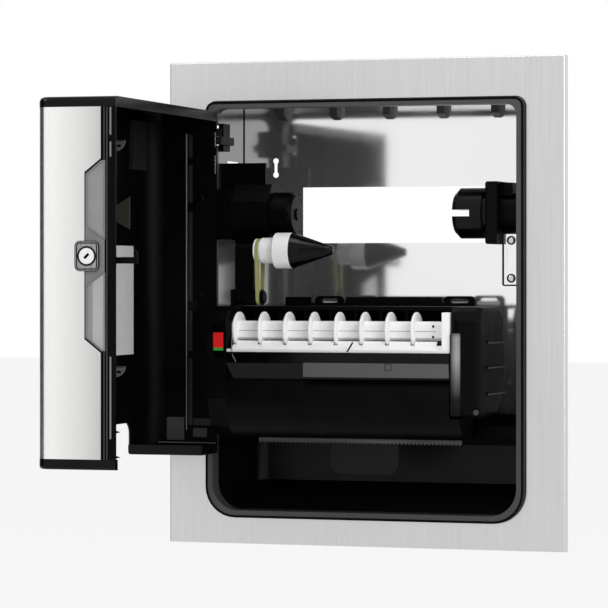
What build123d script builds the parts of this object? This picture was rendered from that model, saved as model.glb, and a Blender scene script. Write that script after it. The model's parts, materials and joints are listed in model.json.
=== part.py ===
from build123d import *
import os
from math import asin, atan, cos, degrees, pi, radians, sin, sqrt, tan

# Recessed roll towel dispenser, photographed with its door swung open.
# Built in plate coordinates: X right along the trim plate, Y into the wall
# from the plate's front face, Z up from the plate's bottom edge. Millimetres.
# send_out() moves each piece to the row frame, whose origin is the centre of
# the rear screw pattern on the back panel's rear face.

# Trim frame and recess
OPENING_WIDTH = 336.0
OPENING_HEIGHT = 422.9
OPENING_BOTTOM = 26.6
SIDE_MARGIN = 39.0
TOP_MARGIN = 39.5
SHEET = 1.2
TRIM_RETURN = 12.0
TRIM_BEND = 1.5
TOP_RADIUS = 11.0
BOTTOM_RADIUS = 33.0
RECESS_DEPTH = 118.0
CEILING_DROP = 4.5
BEZEL_GAP = 2.0
BEZEL_WIDTH = 7.0
BEZEL_PROUD = 5.5
BEZEL_FLANGE = 8.0
BEZEL_FLANGE_THICK = 2.0
BEZEL_SKIRT = 10.0
FIT_GAP = 0.3

# Clips at the back of the recess
CEILING_CLIP_COUNT = 5
CEILING_CLIP_PITCH = 57.8
CEILING_CLIP_MIDDLE = -7.3
CEILING_CLIP_WIDTH = 8.0
CEILING_CLIP_DEPTH = 14.0
CEILING_CLIP_DROP = 11.0
WALL_CLIP_SIZE = 12.0
WALL_CLIP_DEPTH = 24.0
WALL_CLIP_HEIGHT = 6.0
WALL_CLIP_DROPS = (39.0, 53.0)

# Holes in the recess panels
BACK_HOLE_SPACING_X = 290.0
BACK_HOLE_SPACING_Z = 179.0
BACK_HOLE_RADIUS = 3.0
SIDE_HOLE_SPACING_Y = 60.0
SIDE_HOLE_SPACING_Z = 230.0
SIDE_HOLE_RADIUS = 2.75
HANGING_SLOT_INSET = 35.5
HANGING_SLOT_BOTTOM = 377.5
HANGING_SLOT_TOP = 392.0
HANGING_SLOT_WAIST = 1.6
HANGING_SLOT_END = 3.0
SIDE_SLOT_LENGTH = 36.0
SIDE_SLOT_HEIGHT = 2.2
SIDE_SLOT_BOTTOM = 388.4
SIDE_SLOT_REAR_GAP = 16.0
WINDOW_LEFT_INSET = 65.5
WINDOW_RIGHT_INSET = 44.0
WINDOW_BOTTOM = 305.7
WINDOW_TOP = 364.0

# Roll and its hubs
ROLL_AXIS_Y = 23.0
ROLL_AXIS_Z = 334.0
LEFT_TIP_REACH = 90.0
RIGHT_TIP_REACH = 77.0
LEFT_HUB_RADIUS = 22.5
LEFT_HUB_LENGTH = 49.0
LEFT_CUP_REACH = 68.0
LEFT_STEP_REACH = 29.0
LEFT_CUP_RADIUS = 30.5
HUB_TRAVEL = 20.0
SPRING_SOLID = 5.0
SPRING_RADIUS = 16.0
SPRING_WALL = 3.5
PLUNGER_DISC = 3.0
PLUNGER_STEM_RADIUS = 3.5
RIGHT_HUB_RADIUS = 25.3
RIGHT_HUB_LENGTH = 30.5
RIGHT_NECK_RADIUS = 21.5
RIGHT_FLANGE_REACH = 40.5
RIGHT_FLANGE_THICK = 12.5
RIGHT_FLANGE_SIZE = 62.0
AXLE_RADIUS = 6.0
RUNNING_FIT = 0.05

# Stub roll arm
ARM_FROM_INNER = 7.5
ARM_PIVOT_Y = -12.0
ARM_PIVOT_Z = 250.0
ARM_LENGTH = 47.0
ARM_THICK = 20.0
ARM_END_RADIUS = 8.0
PULLEY_RADIUS = 12.0
LOWER_PULLEY_RADIUS = 8.0
PULLEY_WIDTH = 7.0
BELT_WIDTH = 3.6
BELT_THICK = 2.0
STUB_BODY_LENGTH = 14.0
STUB_COLLAR_LENGTH = 18.0
STUB_COLLAR_RADIUS = 18.0
STUB_CONE_LENGTH = 42.0
STUB_TIP_RADIUS = 4.0
FLUTE_COUNT = 8
FLUTE_RADIUS = 1.8
FLUTE_START = 9.0
FLUTE_LENGTH = 27.0

# Paper feed module
ROLLER_Y = -28.0
ROLLER_Z = 217.0
DISC_COUNT = 8
DISC_RADIUS = 18.7
DISC_THICK = 3.0
FIRST_DISC_INSET = 3.6
LAST_DISC_INSET = 32.4
ROLLER_BAR = 19.0
ROLLER_END_GAP = 9.5
ROLLER_END_PLATE = 8.0
GEAR_MODULE = 2.4
DRUM_TEETH = 24
ROLLER_TEETH = 16
GEAR_WIDTH = 9.0
GEAR_SIDE_GAP = 4.0
GEAR_ANGLE = 40.0
PRESSURE_ANGLE = 20.0
DRUM_RADIUS = 28.6
SHAFT_RADIUS = 4.0
MODULE_LEFT_GAP = 21.0
LEFT_END_WIDTH = 20.0
GEAR_CASE_LEFT_GAP = 64.0
GEAR_CASE_RIGHT_GAP = 33.0
LOWER_COVER_RIGHT_GAP = 55.0
MODULE_FRONT = -54.0
MODULE_NOSE = 14.0
MODULE_REAR = 64.0
MODULE_TOP = 241.0
MODULE_BOTTOM = 109.0
COVER_TOP = 169.0
WALL = 2.0
TEAR_BAR_HALF = 106.0
TEAR_PITCH = 4.0
TEAR_BAR_Y = -14.0
TEAR_BAR_THICK = 1.2
TONGUE_HALF = 35.5
TONGUE_BOTTOM = 73.0
FLAG_TRAVEL = 6.0
FLAG_BOTTOM = 197.0
FLAG_HEIGHT = 9.0
GEAR_CASE_BOTTOM = 132.0
GEAR_CASE_REAR = 40.0
GEAR_CASE_TOE = 12.0
GEAR_CASE_CROWN = 18.0
GEAR_CASE_FRONT_ROUND = 11.0
GEAR_CASE_SIDE_ROUND = 5.0
GEAR_COVER_DEPTH = 9.0
GEAR_BULGE_REAR = 46.0
GEAR_BULGE_TOP = 208.0
GEAR_BULGE_BOTTOM = 158.0
GEAR_BULGE_TOE = 8.0
CASE_RIB_LEVELS = (155.0, 181.0, 205.5)
CASE_RIB_HEIGHT = 2.5
CASE_RIB_PROUD = 1.0

# Rail on the module's deck: each raised stretch and ear as its left and right inset
RAIL_FRONT = 58.0
RAIL_REAR = 63.0
RAIL_LOW = 3.0
RAIL_HIGH = 9.0
RAIL_LEFT_INSET = 25.0
RAIL_RIGHT_INSET = 4.0
RAIL_BLOCK_ENDS = ((0.0, 28.0), (65.0, 167.0))
RAIL_EAR_ENDS = ((32.0, 63.5), (169.0, 202.0))
RAIL_EAR_BORDER = 7.0
RAIL_SLOT_HALF = 2.1

# Towel outlet below the module
OUTLET_TAPER = 8.7
OUTLET_BACK_GAP = 10.0
OUTLET_TOP = 98.0
OUTLET_FLOOR_FRONT = 34.3
OUTLET_FLOOR_BACK = 60.0

# Door, described closed and swung open by OPEN_ANGLE at the end
OPEN_ANGLE = 88.0
HINGE_INSET = 14.0
HINGE_Y = -5.0
DOOR_HINGE_GAP = 2.0
DOOR_FREE_GAP = 11.0
DOOR_FRONT = -82.0
DOOR_REAR = -4.0
DOOR_BOTTOM = 92.0
DOOR_TOP_GAP = 11.5
CAP_HEIGHT = 9.8
SKIN = 0.8
LINER_WALL = 2.2
SKIN_REAR = -17.8
FREE_CORNER = 11.0
HINGE_CORNER = 24.0
ARCH_LEFT_INSET = 51.0
ARCH_RIGHT_INSET = 7.0
ARCH_TOP = 124.0
ARCH_CORNER = 12.0
NOTCH_DEPTH = 16.0
NOTCH_BOTTOM = 200.7
NOTCH_TOP_INSET = 58.0
NOTCH_SLOPE = 12.5
LOCK_SETBACK = 13.8
LOCK_Z = 290.0
LOCK_PLATE_Y = 23.0
LOCK_PLATE_Z = 27.5
LOCK_RADIUS = 8.3
PLUG_RADIUS = 7.4
LATCH_TRAVEL = 6.0
LATCH_THICK = 2.6
LATCH_HEIGHT = 6.0
LATCH_DROP = 7.0
LATCH_INSET = 9.8
KEEPER_Y = 10.0
KEEPER_BELOW_LOCK = 28.0
KEEPER_ABOVE_LOCK = 24.0
KEEPER_THICK = 2.0
KEEPER_SCREW_HEAD = 3.0
KEEPER_SCREW_SHANK = 1.6
KEEPER_SCREW_SPACING = 37.6
CAM_LENGTH = 9.0
CAM_HALF_WIDTH = 3.5
CAM_THICK = 1.5
HINGE_EAR_RADIUS = 4.5
HINGE_EAR_HEIGHT = 8.0
HINGE_PIN_RADIUS = 2.0
HINGE_TOP_INSET = 33.0
HINGE_BOTTOM_INSET = 32.0

# What the door's inner face carries
LABEL_INSET = 44.0
LABEL_WIDTH = 120.0
LABEL_HEIGHT = 109.0
LABEL_BOTTOM = 192.7
LABEL_THICK = 0.3
DOOR_RIB_INSET = 98.0
DOOR_RIB_THICK = 3.0
DOOR_CLIP_RADIUS = 11.0
DOOR_CLIP_LEVELS = (406.0, 182.0)
GUIDE_BAR_LEFT = 13.0
GUIDE_BAR_RIGHT = 55.0
GUIDE_BAR_FLARE = 4.0
GUIDE_BAR_BOTTOM = 378.5
GUIDE_BAR_FOOT = 13.0
GUIDE_BAR_DEPTH = 4.0

# Values worked out from the driving dimensions
PLATE_WIDTH = OPENING_WIDTH + 2 * SIDE_MARGIN
OPENING_TOP = OPENING_BOTTOM + OPENING_HEIGHT
PLATE_HEIGHT = OPENING_TOP + TOP_MARGIN
HALF_OPENING = OPENING_WIDTH / 2
WINDOW_LEFT = WINDOW_LEFT_INSET - HALF_OPENING
WINDOW_RIGHT = HALF_OPENING - WINDOW_RIGHT_INSET
HANGING_SLOT_X = HANGING_SLOT_INSET - HALF_OPENING
HUB_LEFT_TIP = LEFT_TIP_REACH - HALF_OPENING
HUB_RIGHT_TIP = HALF_OPENING - RIGHT_TIP_REACH
LEFT_CUP_FRONT = LEFT_CUP_REACH - HALF_OPENING
LEFT_CUP_STEP = LEFT_STEP_REACH - HALF_OPENING
RIGHT_FLANGE_FRONT = HALF_OPENING - RIGHT_FLANGE_REACH
BACK_REAR = RECESS_DEPTH + SHEET
WALL_FRONT = SHEET + BEZEL_FLANGE_THICK
BEZEL_BACK = WALL_FRONT + BEZEL_SKIRT
CEILING = OPENING_TOP - CEILING_DROP
FLOOR = OPENING_BOTTOM - SHEET
BEZEL_OUTER = HALF_OPENING - BEZEL_GAP
BEZEL_INNER = BEZEL_OUTER - BEZEL_WIDTH
BEZEL_BOTTOM = OPENING_BOTTOM + BEZEL_GAP + BEZEL_WIDTH - 1.6
BEZEL_TOP = OPENING_TOP - BEZEL_GAP - BEZEL_WIDTH + 1.0
MODULE_LEFT = MODULE_LEFT_GAP - HALF_OPENING
LEFT_INNER = MODULE_LEFT + LEFT_END_WIDTH
RIGHT_INNER = HALF_OPENING - GEAR_CASE_LEFT_GAP
GEAR_CASE_RIGHT = HALF_OPENING - GEAR_CASE_RIGHT_GAP
LOWER_RIGHT = HALF_OPENING - LOWER_COVER_RIGHT_GAP
ROLLER_RIGHT = RIGHT_INNER - ROLLER_END_GAP
FIRST_DISC_X = LEFT_INNER + FIRST_DISC_INSET
DISC_PITCH = (ROLLER_RIGHT - LAST_DISC_INSET - FIRST_DISC_X) / (DISC_COUNT - 1)
GEAR_CENTRES = GEAR_MODULE * (DRUM_TEETH + ROLLER_TEETH) / 2
DRUM_Y = ROLLER_Y + GEAR_CENTRES * cos(radians(GEAR_ANGLE))
DRUM_Z = ROLLER_Z - GEAR_CENTRES * sin(radians(GEAR_ANGLE))
GEAR_X = RIGHT_INNER + WALL + GEAR_SIDE_GAP
ARM_X = LEFT_INNER + ARM_FROM_INNER
ARM_TOP_Z = ARM_PIVOT_Z + ARM_LENGTH
OUTLET_FRONT_HALF = BEZEL_INNER - FIT_GAP
OUTLET_BACK_HALF = OUTLET_FRONT_HALF - OUTLET_TAPER
OUTLET_BACK_Y = RECESS_DEPTH - OUTLET_BACK_GAP
HINGE_X = HINGE_INSET - HALF_OPENING
DOOR_LEFT = HINGE_X + DOOR_HINGE_GAP
DOOR_RIGHT = HALF_OPENING - DOOR_FREE_GAP
ARCH_LEFT = DOOR_LEFT + ARCH_LEFT_INSET
ARCH_RIGHT = DOOR_RIGHT - ARCH_RIGHT_INSET
DOOR_TOP = OPENING_TOP - DOOR_TOP_GAP
SKIN_BOTTOM = DOOR_BOTTOM + CAP_HEIGHT
SKIN_TOP = DOOR_TOP - CAP_HEIGHT
LINER_INNER = SKIN + LINER_WALL
NOTCH_TOP = DOOR_TOP - NOTCH_TOP_INSET
HINGE_TOP_Z = DOOR_TOP - HINGE_TOP_INSET
HINGE_BOTTOM_Z = DOOR_BOTTOM + HINGE_BOTTOM_INSET
LOCK_Y = SKIN_REAR - LOCK_SETBACK
LATCH_X = DOOR_RIGHT - LATCH_INSET
KEEPER_BOTTOM = LOCK_Z - KEEPER_BELOW_LOCK
KEEPER_TOP = LOCK_Z + KEEPER_ABOVE_LOCK


def send_out(name, shape):
    placed = Pos(0, -BACK_REAR, -PLATE_HEIGHT / 2) * shape
    export_step(placed, "parts/" + name + ".step")


def block(x0, x1, y0, y1, z0, z1):
    centre = Pos((x0 + x1) / 2, (y0 + y1) / 2, (z0 + z1) / 2)
    return centre * Box(x1 - x0, y1 - y0, z1 - z0)


def rod_x(x0, x1, y, z, radius):
    return Pos((x0 + x1) / 2, y, z) * Rot(0, 90, 0) * Cylinder(radius, x1 - x0)


def rod_y(x, y0, y1, z, radius):
    return Pos(x, (y0 + y1) / 2, z) * Rot(90, 0, 0) * Cylinder(radius, y1 - y0)


def rod_z(x, y, z0, z1, radius):
    return Pos(x, y, (z0 + z1) / 2) * Cylinder(radius, z1 - z0)


def cone_x(x0, x1, y, z, radius0, radius1):
    return Pos((x0 + x1) / 2, y, z) * Rot(0, 90, 0) * Cone(radius0, radius1, x1 - x0)


def group(pieces):
    return Compound(children=list(pieces))


def yz_prism(x0, x1, points):
    """A prism along X through a closed outline of (y, z) points."""
    outline = Polyline(*[(x0, y, z) for y, z in points], close=True)
    return extrude(make_face(outline), amount=x1 - x0, dir=(1, 0, 0))


def arch_box(half, y0, y1, z0, z1, bottom_radius, top_radius):
    """A box with its corners rounded as seen from the front."""
    shape = block(-half, half, y0, y1, z0, z1)
    edges = shape.edges().filter_by(Axis.Y)
    shape = fillet(edges.group_by(Axis.Z)[0], bottom_radius)
    edges = shape.edges().filter_by(Axis.Y).filter_by(GeomType.LINE)
    return fillet(edges.group_by(Axis.Z)[-1], top_radius)


# Cabinet

def trim_frame():
    half = PLATE_WIDTH / 2
    plate = block(-half, half, 0, TRIM_RETURN, 0, PLATE_HEIGHT)
    plate = fillet(plate.faces().sort_by(Axis.Y)[0].edges(), TRIM_BEND)
    hollow = block(SHEET - half, half - SHEET, SHEET, TRIM_RETURN + 1, SHEET, PLATE_HEIGHT - SHEET)
    opening = arch_box(HALF_OPENING, -1, TRIM_RETURN + 1, OPENING_BOTTOM, OPENING_TOP,
                       BOTTOM_RADIUS, TOP_RADIUS)
    return plate - hollow - opening


def bezel_ring():
    bottom = BEZEL_BOTTOM - BEZEL_WIDTH
    top = BEZEL_TOP + BEZEL_WIDTH
    back = BEZEL_BACK
    lip = arch_box(BEZEL_OUTER, -BEZEL_PROUD, back, bottom, top,
                   BOTTOM_RADIUS - BEZEL_GAP, TOP_RADIUS - BEZEL_GAP)
    lip = fillet(lip.faces().sort_by(Axis.Y)[0].edges(), BEZEL_WIDTH / 3)
    flange = arch_box(HALF_OPENING + BEZEL_FLANGE, SHEET, WALL_FRONT, bottom - BEZEL_FLANGE,
                      top + BEZEL_FLANGE, BOTTOM_RADIUS + BEZEL_FLANGE, TOP_RADIUS + BEZEL_FLANGE)
    inner = arch_box(BEZEL_INNER, -BEZEL_PROUD - 1, back + 1, BEZEL_BOTTOM, BEZEL_TOP,
                     BOTTOM_RADIUS - BEZEL_GAP - BEZEL_WIDTH / 2, TOP_RADIUS)
    return lip + flange - inner


def recess_back():
    panel = block(-HALF_OPENING - SHEET, HALF_OPENING + SHEET, RECESS_DEPTH, BACK_REAR,
                  FLOOR, CEILING + SHEET)
    front = RECESS_DEPTH - 1
    rear = BACK_REAR + 1
    panel -= block(WINDOW_LEFT, WINDOW_RIGHT, front, rear, WINDOW_BOTTOM, WINDOW_TOP)
    for side in (-1, 1):
        for level in (-1, 1):
            panel -= rod_y(side * BACK_HOLE_SPACING_X / 2, front, rear,
                           PLATE_HEIGHT / 2 + level * BACK_HOLE_SPACING_Z / 2, BACK_HOLE_RADIUS)
    return panel - hanging_slot(front, rear)


def hanging_slot(front, rear):
    """The dog-bone slot above the left hub."""
    slot = block(HANGING_SLOT_X - HANGING_SLOT_WAIST, HANGING_SLOT_X + HANGING_SLOT_WAIST,
                 front, rear, HANGING_SLOT_BOTTOM, HANGING_SLOT_TOP)
    for z in (HANGING_SLOT_BOTTOM, HANGING_SLOT_TOP):
        slot += rod_y(HANGING_SLOT_X, front, rear, z, HANGING_SLOT_END)
    return slot


def recess_side(side):
    """A side wall with its screw holes and front lip; the left one has a thin slot."""
    inner = side * HALF_OPENING
    outer = side * (HALF_OPENING + SHEET)
    panel = block(min(inner, outer), max(inner, outer), WALL_FRONT, RECESS_DEPTH,
                  FLOOR, CEILING + SHEET)
    lip_end = side * (HALF_OPENING + 2 * BEZEL_FLANGE)
    panel += block(min(inner, lip_end), max(inner, lip_end), WALL_FRONT, WALL_FRONT + SHEET,
                   OPENING_BOTTOM + BOTTOM_RADIUS, CEILING)
    middle = (WALL_FRONT + RECESS_DEPTH) / 2
    low_x, high_x = min(inner, outer) - 1, max(inner, outer) + 1
    for step in (-1, 1):
        for level in (-1, 1):
            panel -= rod_x(low_x, high_x, middle + step * SIDE_HOLE_SPACING_Y / 2,
                           PLATE_HEIGHT / 2 + level * SIDE_HOLE_SPACING_Z / 2, SIDE_HOLE_RADIUS)
    if side < 0:
        slot_rear = RECESS_DEPTH - SIDE_SLOT_REAR_GAP
        panel -= block(low_x, high_x, slot_rear - SIDE_SLOT_LENGTH, slot_rear,
                       SIDE_SLOT_BOTTOM, SIDE_SLOT_BOTTOM + SIDE_SLOT_HEIGHT)
    return panel


def recess_cap(front, z0):
    return block(-HALF_OPENING, HALF_OPENING, front, RECESS_DEPTH, z0, z0 + SHEET)


def recess_clips():
    """Clips under the ceiling and on the right wall, all at the back."""
    half, front = CEILING_CLIP_WIDTH / 2, RECESS_DEPTH - CEILING_CLIP_DEPTH
    clips = []
    for index in range(CEILING_CLIP_COUNT):
        x = CEILING_CLIP_MIDDLE + (index - (CEILING_CLIP_COUNT - 1) / 2) * CEILING_CLIP_PITCH
        clips.append(yz_prism(x - half, x + half, [
            (RECESS_DEPTH, CEILING), (front, CEILING), (front, CEILING - CEILING_CLIP_DROP * 0.6),
            (RECESS_DEPTH, CEILING - CEILING_CLIP_DROP)]))
    for drop in WALL_CLIP_DROPS:
        low = CEILING - drop
        clips.append(block(HALF_OPENING - WALL_CLIP_SIZE, HALF_OPENING,
                           RECESS_DEPTH - WALL_CLIP_DEPTH, RECESS_DEPTH,
                           low, low + WALL_CLIP_HEIGHT))
    return group(clips)


def chute_liner():
    thick = 2.0
    front = BEZEL_BACK + FIT_GAP
    outer_half = HALF_OPENING - FIT_GAP
    shell = block(-outer_half, outer_half, front, OUTLET_BACK_Y + thick,
                  FLOOR + SHEET, OUTLET_TOP)
    plan = Polyline((-OUTLET_FRONT_HALF, front - 1), (OUTLET_FRONT_HALF, front - 1),
                    (OUTLET_BACK_HALF, OUTLET_BACK_Y), (-OUTLET_BACK_HALF, OUTLET_BACK_Y),
                    close=True)
    void = extrude(make_face(plan), amount=OUTLET_TOP + 1, dir=(0, 0, 1))
    corners = void.edges().filter_by(Axis.Z).group_by(Axis.Y)[-1]
    void = fillet(corners, 14.0)
    wedge = yz_prism(-outer_half - 1, outer_half + 1, [
        (front - 2, -1), (front - 2, OUTLET_FLOOR_FRONT),
        (OUTLET_BACK_Y + 5, OUTLET_FLOOR_BACK), (OUTLET_BACK_Y + 5, -1)])
    return shell - (void - wedge)


# Roll hubs

def octagon_cup(x0, x1, radius):
    outline = RegularPolygon(radius, 8, major_radius=False, rotation=22.5)
    plane = Plane(origin=(x0, ROLL_AXIS_Y, ROLL_AXIS_Z), x_dir=(0, 1, 0), z_dir=(1, 0, 0))
    return extrude(plane * outline, amount=x1 - x0)


def left_hub_carrier():
    half = 25.5
    bore = LEFT_HUB_RADIUS + FIT_GAP
    bottom = spring_front() - SPRING_SOLID - HUB_TRAVEL - FIT_GAP
    cup = octagon_cup(LEFT_CUP_STEP, LEFT_CUP_FRONT, LEFT_CUP_RADIUS)
    body = cup + block(-BEZEL_INNER + FIT_GAP, LEFT_CUP_STEP, ROLL_AXIS_Y - half,
                       ROLL_AXIS_Y + half, ROLL_AXIS_Z - half, ROLL_AXIS_Z + half)
    body += block(-HALF_OPENING, -BEZEL_INNER + FIT_GAP, BEZEL_BACK + FIT_GAP,
                  ROLL_AXIS_Y + half, ROLL_AXIS_Z - half, ROLL_AXIS_Z + half)
    bracket = block(-HALF_OPENING, LEFT_CUP_STEP + 20, ROLL_AXIS_Y + half - 4,
                    ROLL_AXIS_Y + half, ROLL_AXIS_Z + half, ROLL_AXIS_Z + half + 28)
    return body + bracket - rod_x(bottom, LEFT_CUP_FRONT + 1, ROLL_AXIS_Y, ROLL_AXIS_Z, bore)


def left_hub():
    back = HUB_LEFT_TIP - LEFT_HUB_LENGTH
    hub = rod_x(back, HUB_LEFT_TIP, ROLL_AXIS_Y, ROLL_AXIS_Z, LEFT_HUB_RADIUS)
    hub = chamfer(hub.faces().sort_by(Axis.X)[-1].edges(), 4.0)
    rib_count, rib_width, rib_depth = 6, 5.0, 2.0
    for index in range(rib_count):
        groove = block(LEFT_CUP_FRONT + 4, HUB_LEFT_TIP + 1, -rib_width / 2, rib_width / 2,
                       LEFT_HUB_RADIUS - rib_depth, LEFT_HUB_RADIUS + 2)
        turned = Rot(360 / rib_count * (index + 0.5), 0, 0) * groove
        hub -= Pos(0, ROLL_AXIS_Y, ROLL_AXIS_Z) * turned
    bore = PLUNGER_STEM_RADIUS + RUNNING_FIT
    return hub - rod_x(back - 1, HUB_LEFT_TIP + 1, ROLL_AXIS_Y, ROLL_AXIS_Z, bore)


def left_plunger():
    back = HUB_LEFT_TIP - LEFT_HUB_LENGTH - FIT_GAP
    disc = rod_x(back - PLUNGER_DISC, back, ROLL_AXIS_Y, ROLL_AXIS_Z, LEFT_HUB_RADIUS - 1)
    stem = rod_x(back - 1, HUB_LEFT_TIP + FIT_GAP, ROLL_AXIS_Y, ROLL_AXIS_Z, PLUNGER_STEM_RADIUS)
    head = rod_x(HUB_LEFT_TIP + FIT_GAP, HUB_LEFT_TIP + 1.8, ROLL_AXIS_Y, ROLL_AXIS_Z, 6.0)
    return disc + stem + fillet(head.faces().sort_by(Axis.X)[-1].edges(), 1.2)


def spring_front():
    return HUB_LEFT_TIP - LEFT_HUB_LENGTH - PLUNGER_DISC - 2 * FIT_GAP


def left_spring():
    """Closed sleeve of the hidden hub spring, between cup floor and plunger."""
    front = spring_front()
    back = front - HUB_TRAVEL - SPRING_SOLID
    sleeve = rod_x(back, front, ROLL_AXIS_Y, ROLL_AXIS_Z, SPRING_RADIUS)
    bore = SPRING_RADIUS - SPRING_WALL
    return sleeve - rod_x(back - 1, front + 1, ROLL_AXIS_Y, ROLL_AXIS_Z, bore)


def right_hub_carrier():
    half = RIGHT_FLANGE_SIZE / 2
    rear = RIGHT_FLANGE_FRONT + RIGHT_FLANGE_THICK
    flange = block(RIGHT_FLANGE_FRONT, rear, ROLL_AXIS_Y - half, ROLL_AXIS_Y + half,
                   ROLL_AXIS_Z - half, ROLL_AXIS_Z + half)
    flange = chamfer(flange.faces().sort_by(Axis.X)[0].edges(), 2.0)
    boss_radius, boss_end = 19.5, BEZEL_INNER - FIT_GAP
    boss = rod_x(rear, boss_end, ROLL_AXIS_Y, ROLL_AXIS_Z, boss_radius)
    boss += block(boss_end, HALF_OPENING, BEZEL_BACK + FIT_GAP, ROLL_AXIS_Y + boss_radius,
                  ROLL_AXIS_Z - boss_radius, ROLL_AXIS_Z + boss_radius)
    pad = block(rear, rear + 12, ROLL_AXIS_Y - 15, ROLL_AXIS_Y + 15,
                ROLL_AXIS_Z + 17, ROLL_AXIS_Z + 30)
    axle = rod_x(HUB_RIGHT_TIP + 23, RIGHT_FLANGE_FRONT, ROLL_AXIS_Y, ROLL_AXIS_Z, AXLE_RADIUS)
    return flange + boss + pad + axle


def right_hub():
    shoulder = HUB_RIGHT_TIP + RIGHT_HUB_LENGTH
    rear = RIGHT_FLANGE_FRONT - FIT_GAP
    hub = rod_x(HUB_RIGHT_TIP, shoulder, ROLL_AXIS_Y, ROLL_AXIS_Z, RIGHT_HUB_RADIUS)
    hub = chamfer(hub.faces().sort_by(Axis.X)[0].edges(), 5.0)
    hub += rod_x(shoulder, rear, ROLL_AXIS_Y, ROLL_AXIS_Z, RIGHT_NECK_RADIUS)
    slot_half, slot_end = 3.3, HUB_RIGHT_TIP + 19
    hub -= block(HUB_RIGHT_TIP - 1, slot_end, ROLL_AXIS_Y - 30, ROLL_AXIS_Y + 30,
                 ROLL_AXIS_Z - slot_half, ROLL_AXIS_Z + slot_half)
    return hub - rod_x(slot_end - 1, rear + 1, ROLL_AXIS_Y, ROLL_AXIS_Z,
                       AXLE_RADIUS + RUNNING_FIT)


# Stub roll arm: a spindle on a swinging arm, turned by an elastic belt

def stub_arm():
    half = ARM_THICK / 2
    shape = block(ARM_X - half, ARM_X + half, ARM_PIVOT_Y - ARM_END_RADIUS,
                  ARM_PIVOT_Y + ARM_END_RADIUS, ARM_PIVOT_Z, ARM_TOP_Z)
    for z in (ARM_PIVOT_Z, ARM_TOP_Z):
        shape += rod_x(ARM_X - half, ARM_X + half, ARM_PIVOT_Y, z, ARM_END_RADIUS)
    shape -= rod_x(ARM_X - half - 1, ARM_X + half + 1, ARM_PIVOT_Y, ARM_PIVOT_Z,
                   SHAFT_RADIUS + RUNNING_FIT)
    spindle_end = ARM_X + half + spindle_length()
    return shape + rod_x(ARM_X + half - 1, spindle_end, ARM_PIVOT_Y, ARM_TOP_Z, SHAFT_RADIUS)


def spindle_length():
    return PULLEY_WIDTH + STUB_BODY_LENGTH + STUB_COLLAR_LENGTH


def stub_arm_bracket():
    """Fixed foot on the module deck with the arm's pivot pin."""
    half = ARM_THICK / 2
    cheek = 3.0
    left = ARM_X - half - FIT_GAP - cheek
    foot = block(left, left + cheek, ARM_PIVOT_Y - 12, ARM_PIVOT_Y + 12,
                 MODULE_TOP, ARM_PIVOT_Z + 8)
    pin = rod_x(left, pulley_right() + FIT_GAP, ARM_PIVOT_Y, ARM_PIVOT_Z, SHAFT_RADIUS)
    head = rod_x(pulley_right() + FIT_GAP, pulley_right() + 2, ARM_PIVOT_Y, ARM_PIVOT_Z,
                 SHAFT_RADIUS + 2)
    return foot + pin + head


def pulley_left():
    return ARM_X + ARM_THICK / 2 + FIT_GAP


def pulley_right():
    return pulley_left() + PULLEY_WIDTH


def pulley(z, radius):
    left, right, groove = pulley_left(), pulley_right(), (PULLEY_WIDTH - BELT_WIDTH) / 2
    wheel = rod_x(left, right, ARM_PIVOT_Y, z, radius)
    rim = rod_x(left + groove - FIT_GAP / 2, right - groove + FIT_GAP / 2,
                ARM_PIVOT_Y, z, radius + 1)
    core = rod_x(left, right, ARM_PIVOT_Y, z, radius - BELT_THICK)
    return wheel - (rim - core)


def lower_pulley():
    wheel = pulley(ARM_PIVOT_Z, LOWER_PULLEY_RADIUS)
    return wheel - rod_x(pulley_left() - 1, pulley_right() + 1, ARM_PIVOT_Y, ARM_PIVOT_Z,
                         SHAFT_RADIUS + RUNNING_FIT)


def belt_loop(x0, x1, grow):
    """Solid round both pulleys: two discs joined by their outer tangents."""
    low = LOWER_PULLEY_RADIUS - BELT_THICK + grow
    high = PULLEY_RADIUS - BELT_THICK + grow
    tilt = asin((high - low) / ARM_LENGTH)
    y_low, z_low = low * cos(tilt), ARM_PIVOT_Z - low * sin(tilt)
    y_high, z_high = high * cos(tilt), ARM_TOP_Z - high * sin(tilt)
    web = yz_prism(x0, x1, [
        (ARM_PIVOT_Y - y_low, z_low), (ARM_PIVOT_Y + y_low, z_low),
        (ARM_PIVOT_Y + y_high, z_high), (ARM_PIVOT_Y - y_high, z_high)])
    return web + rod_x(x0, x1, ARM_PIVOT_Y, ARM_PIVOT_Z, low) + rod_x(
        x0, x1, ARM_PIVOT_Y, ARM_TOP_Z, high)


def drive_belt():
    left = pulley_left() + (PULLEY_WIDTH - BELT_WIDTH) / 2
    right = left + BELT_WIDTH
    return belt_loop(left, right, BELT_THICK) - belt_loop(left - 1, right + 1, RUNNING_FIT)


def stub_spindle():
    """Grooved pulley, white body and collar in one turning piece."""
    body_end = pulley_right() + STUB_BODY_LENGTH
    collar_end = body_end + STUB_COLLAR_LENGTH
    shape = pulley(ARM_TOP_Z, PULLEY_RADIUS)
    shape += rod_x(pulley_right(), body_end, ARM_PIVOT_Y, ARM_TOP_Z, PULLEY_RADIUS + 1)
    collar = rod_x(body_end, collar_end, ARM_PIVOT_Y, ARM_TOP_Z, STUB_COLLAR_RADIUS)
    shape += fillet(collar.edges().filter_by(GeomType.CIRCLE), 1.2)
    return shape - rod_x(pulley_left() - 1, collar_end + 1, ARM_PIVOT_Y, ARM_TOP_Z,
                         SHAFT_RADIUS + RUNNING_FIT)


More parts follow.
